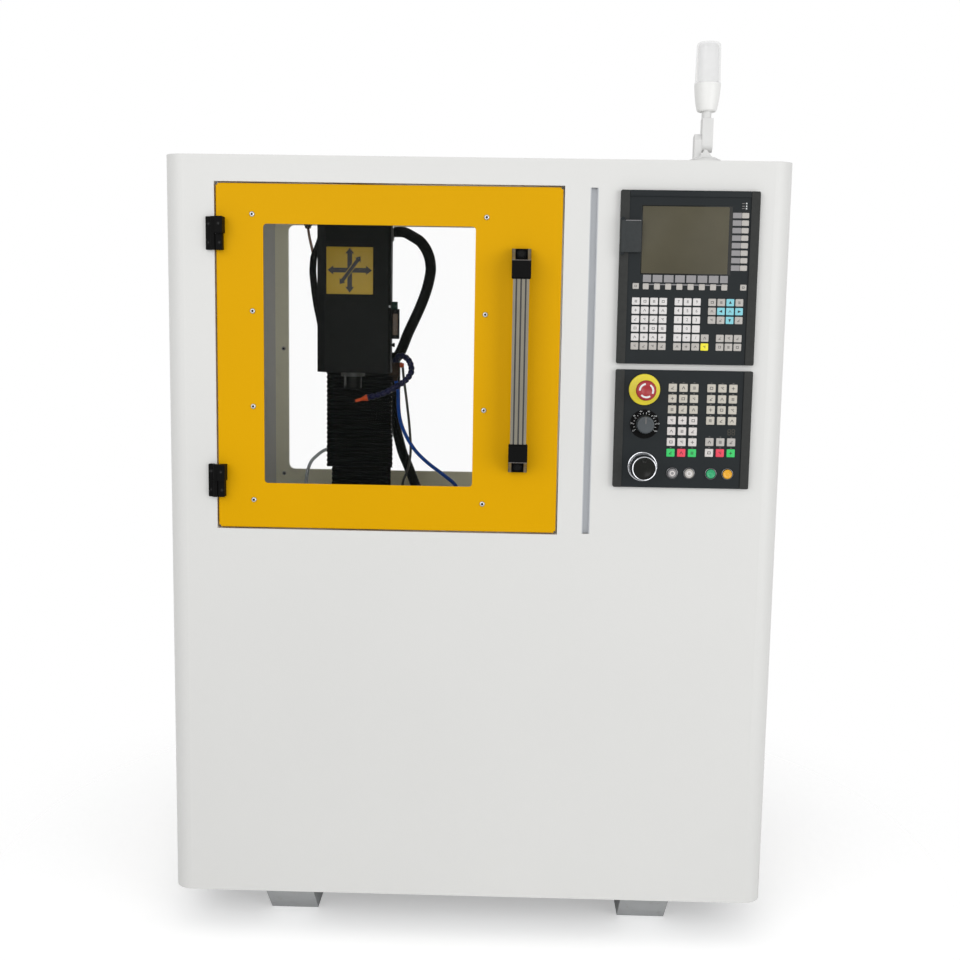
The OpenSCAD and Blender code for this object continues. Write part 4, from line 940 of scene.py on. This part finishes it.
wheel_front = depth_of(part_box("handwheel")[0].y)
lathe(facing(wheel_at, wheel_front), BACK, [
    (0, 0.0022, gloss_black), (0.015, 0.0018, gloss_black), (0.0205, 0.001, gloss_black), (0.0213, 0.0012),
    (0.0218, 0.0002), (0.0226, 0), (0.0234, 0.0004), (0.0238, 0.0016), (0.024, 0.006), (0.0252, 0.012),
    (0.0262, 0.02), (0.0272, 0.03), (0.0275, 0.033), (0.027, 0.0338), (0.0057, 0.034), (0.0057, 0.052)
], chrome, 72)
ribs(72, wheel_at, 0.0267, wheel_front + 0.026, (0.0004, 0.005, 0.0004), 0.00015, chrome)
piece = shape.piece("handwheel_rim", "wheel")
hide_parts("handwheel")
lathe(at(wheel_at[0], wheel_front, wheel_at[1] + 0.014), FRONT, [
    (0.005, -0.0016), (0.005, 0.0002), (0.0046, 0.0004), (0.0042, 0.0001), (0.003, -0.001), (0, -0.0014)
], gloss_black, 32)
piece = shape.piece("handwheel_dimple", "wheel")

for x, body, node, glass, core in (
    (button_x[0], "clear_button", "button_clear", key_label, KEYS["l"]),
    (button_x[1], "white_button", "button_white", KEYS["g"], KEYS["w"]),
    (button_x[2], "green_button", "button_green", lens_green, lens_green),
    (button_x[3], "amber_button", "button_amber", lens_amber, lens_amber),
):
    lathe(at(x, plate_d, button_h), FRONT, [
        (0.0115, -0.0003), (0.0115, 0.0018), (0.0111, 0.0027), (0.0104, 0.003), (0.0098, 0.0026),
        (0.0096, 0.0002)
    ], ring_steel, 40)
    piece = shape.piece(node + "_ring", "enclosure")
    lathe(at(x, plate_d, button_h), FRONT, [
        (0.0092, 0.0033), (0.0092, 0.0042), (0.0086, 0.006), (0.0072, 0.0069), (0.0052, 0.0066, core),
        (0.0046, 0.0063, core), (0.003, 0.0066), (0, 0.007)
    ], glass, 40)
    piece = shape.piece(node + "_lens", body)
    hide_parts(node)

# ---- Head: label, terminal, fittings ----

cover_low, cover_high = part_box("head_cover")
cover_front = depth_of(cover_low.y)
label_x, label_h = (-0.3365, -0.2342), (1.2372, 1.3394)
label_c, label_m = (label_x[0] + label_x[1]) / 2, (label_h[0] + label_h[1]) / 2 + 0.0008
plate(label_x, label_h, 0.0012, cover_front - 0.0008, cover_front + 0.0003, 0.0003, label_yellow)


def double_arrow(x, h, long, shaft, head_w, head_l, angle):
    """Outline of an arrow with a head at both ends, turned by angle degrees."""
    a, neck = long / 2, long / 2 - head_l
    half_shape = [(a, 0), (neck, head_w / 2), (neck, shaft / 2), (-neck, shaft / 2), (-neck, head_w / 2)]
    return turned(half_shape + [(-u, -v) for u, v in half_shape], x, h, angle)


face = cover_front - 0.0008
for x, long, shaft, head_w, head_l, angle, ink, thick in (
    (label_c, 0.098, 0.0105, 0.02, 0.013, 90, ink_dark, 0.0001),
    (label_c, 0.098, 0.0105, 0.02, 0.013, 0, ink_dark, 0.00015),
    (label_c + 0.001, 0.0785, 0.0098, 0.0185, 0.012, 53, label_yellow, 0.0002),
    (label_c + 0.001, 0.0765, 0.008, 0.0165, 0.0105, 53, ink_dark, 0.00025),
):
    print_on(double_arrow(x, label_m, long, shaft, head_w, head_l, angle), face, ink, thick)
piece = shape.piece("axis_label", "head")

side_x = cover_high.x - 0.017
span((side_x, side_x + 0.0172), (0.3285, 0.3455), (1.1405, 1.2065), 0.001, dark_coat)
span((side_x + 0.0035, side_x + 0.0145), (0.3272, 0.329), (1.149, 1.196), 0.0006, terminal_brown)
span((side_x + 0.0005, side_x + 0.013), (0.329, 0.345), (1.206, 1.2225), 0.0008, terminal_green)
for h in (1.1455, 1.201):
    cap_head(at(side_x + 0.0088, 0.3287, h), FRONT, 0.002, 0.001, black_worn)
span((side_x - 0.007, side_x - 0.0005), (0.3135, 0.318), (1.209, 1.214), 0.0004, strip_coat)
lathe(at(side_x, 0.337, 1.127), RIGHT, [
    (0.003, -0.001), (0.003, 0.003), (0.0045, 0.0034), (0.0047, 0.0065), (0.004, 0.0075), (0, 0.0076)
], black_mould, 24)
piece = shape.piece("head_terminal", "head")

nozzle_x, nozzle_d = -0.194, 0.429
block_side = side_x + 0.0115
span((side_x - 0.013, block_side), (0.416, 0.442), (1.054, 1.085), 0.0015, brass)
lathe(at(nozzle_x, nozzle_d, 1.054), DOWN, [
    *hexagon(0.007, 0.005), (0.0054, 0.0055), (0.005, 0.01), (0.0046, 0.012)
], brass, 24)
lathe(at(nozzle_x, nozzle_d, 1.085), UP, [
    *hexagon(0.0085, 0.004), (0.006, 0.0045), (0.0055, 0.006)
], brass, 24)
lathe(at(block_side, 0.431, 1.079), RIGHT, [
    *hexagon(0.0062, 0.005), (0.0046, 0.0055), (0.0042, 0.009), (0, 0.0092)
], orange_plastic, 24)
piece = shape.piece("coolant_block", "head")
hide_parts("coolant_nozzle")

lathe(at(side_x - 0.013, 0.46, 1.092), RIGHT, [
    (0.0165, -0.001), (0.0165, 0.002), (0.015, 0.004), (0.0146, 0.008)
], black_mould, 24)
lathe(at(cover_low.x, 0.47, 1.157), -RIGHT, [
    *hexagon(0.0115, 0.003), (0.0098, 0.0035), (0.0094, 0.006)
], black_mould, 24)
span((-0.3105, -0.2985), (0.357, 0.361), (1.059, 1.063), 0.0004, cable_grey)
span((-0.302, -0.299), (0.357, 0.361), (1.034, 1.06), 0.0004, cable_grey)
piece = shape.piece("head_fittings", "head")

# ---- Rear frame: cable gland on its bracket ----

gland = at(-0.467, 0.871, 1.4275)
span((-0.483, -0.451), (0.858, 0.89), (1.4275, 1.4295), 0.0005, strip_coat)
span((-0.483, -0.451), (0.888, 0.89), (1.4275, 1.446), 0.0005, strip_coat)
lathe(gland, DOWN, [
    *hexagon(0.011, 0.005), (0.0088, 0.0055), (0.0084, 0.01), (0.0062, 0.0125), (0.0045, 0.013)
], cable_grey, 24)
piece = shape.piece("cable_gland", "enclosure")

# ---- Light, floor and background ----

soft_level = 0.58
white = (1, 1, 1, 1)
world = bpy.data.worlds.new("studio")
scene.world = world
world.use_nodes = True
tree = world.node_tree
soft = tree.nodes["Background"]
set_inputs(soft, {"Color": white, "Strength": soft_level})
plain = add_node(tree, "Background", {"Color": white, "Strength": 1.0})
path = add_node(tree, "LightPath").outputs
seen = add_node(tree, "Math", {0: path["Is Camera Ray"], 1: path["Is Glossy Ray"]}, operation="MAXIMUM")
through = add_node(tree, "Math", {0: seen.outputs[0], 1: path["Is Transmission Ray"]}, operation="MAXIMUM")
both = add_node(tree, "MixShader", {"Fac": through.outputs[0], 1: soft.outputs[0], 2: plain.outputs[0]})
set_inputs(tree.nodes["World Output"], {"Surface": both.outputs[0]})


def soft_lamp(name, place, aim, size, power):
    """A large square lamp at a place, facing a point."""
    data = bpy.data.lights.new(name, "AREA")
    data.size = size
    data.energy = power
    lamp = bpy.data.objects.new(name, data)
    lamp.location = place
    lamp.visible_camera = False
    lamp.rotation_mode = "QUATERNION"
    lamp.rotation_quaternion = (aim - place).to_track_quat("-Z", "Y")
    scene.collection.objects.link(lamp)


middle = at(0, 0.3, 0.8)
soft_lamp("key_lamp", at(-1.6, -2.6, 2.0), middle, 2.2, 23)
soft_lamp("fill_lamp", at(2.2, -2.2, 1.2), middle, 2.0, 27)
soft_lamp("front_lamp", at(-0.1, -3.0, 1.5), at(-0.35, 0.9, 1.0), 1.4, 11)
soft_lamp("chamber_lamp", at(-0.48, 0.36, 1.5), at(-0.48, 0.88, 0.85), 0.2, 0.45)

# The floor is pale round the object and fades into the white background further out.
floor_reach, floor_lift, fade_from, fade_to = 2.6, 0.34, 0.62, 1.35
work = bmesh.new()
bmesh.ops.create_circle(work, cap_ends=True, segments=96, radius=floor_reach)
mesh = bpy.data.meshes.new("floor")
work.to_mesh(mesh)
work.free()
floor = bpy.data.objects.new("floor", mesh)
scene.collection.objects.link(floor)
paper = bpy.data.materials.new("paper")
paper.use_nodes = True
tree = paper.node_tree
shader = tree.nodes["Principled BSDF"]
set_inputs(shader, {"Base Color": (0.93, 0.93, 0.93, 1), "Roughness": 0.9, "Specular IOR Level": 0.1})
clear = add_node(tree, "BsdfTransparent")
away = add_node(tree, "VectorMath", {0: add_node(tree, "TexCoord").outputs["Object"]}, operation="LENGTH")
fade = add_node(tree, "MapRange", {
    "From Min": fade_from, "From Max": fade_to, "Value": away.outputs["Value"]
}, interpolation_type="SMOOTHSTEP")
seen = add_node(tree, "LightPath").outputs["Is Camera Ray"]
lift = add_node(tree, "Math", {0: seen, 1: floor_lift}, operation="MULTIPLY")
glow = add_node(tree, "Emission", {"Strength": lift.outputs[0]})
lit = add_node(tree, "AddShader", {0: shader.outputs[0], 1: glow.outputs[0]})
mix = add_node(tree, "MixShader", {"Fac": fade.outputs["Result"], 1: lit.outputs[0], 2: clear.outputs[0]})
set_inputs(tree.nodes["Material Output"], {"Surface": mix.outputs[0]})
mesh.materials.append(paper)

scene.view_settings.view_transform = "Standard"
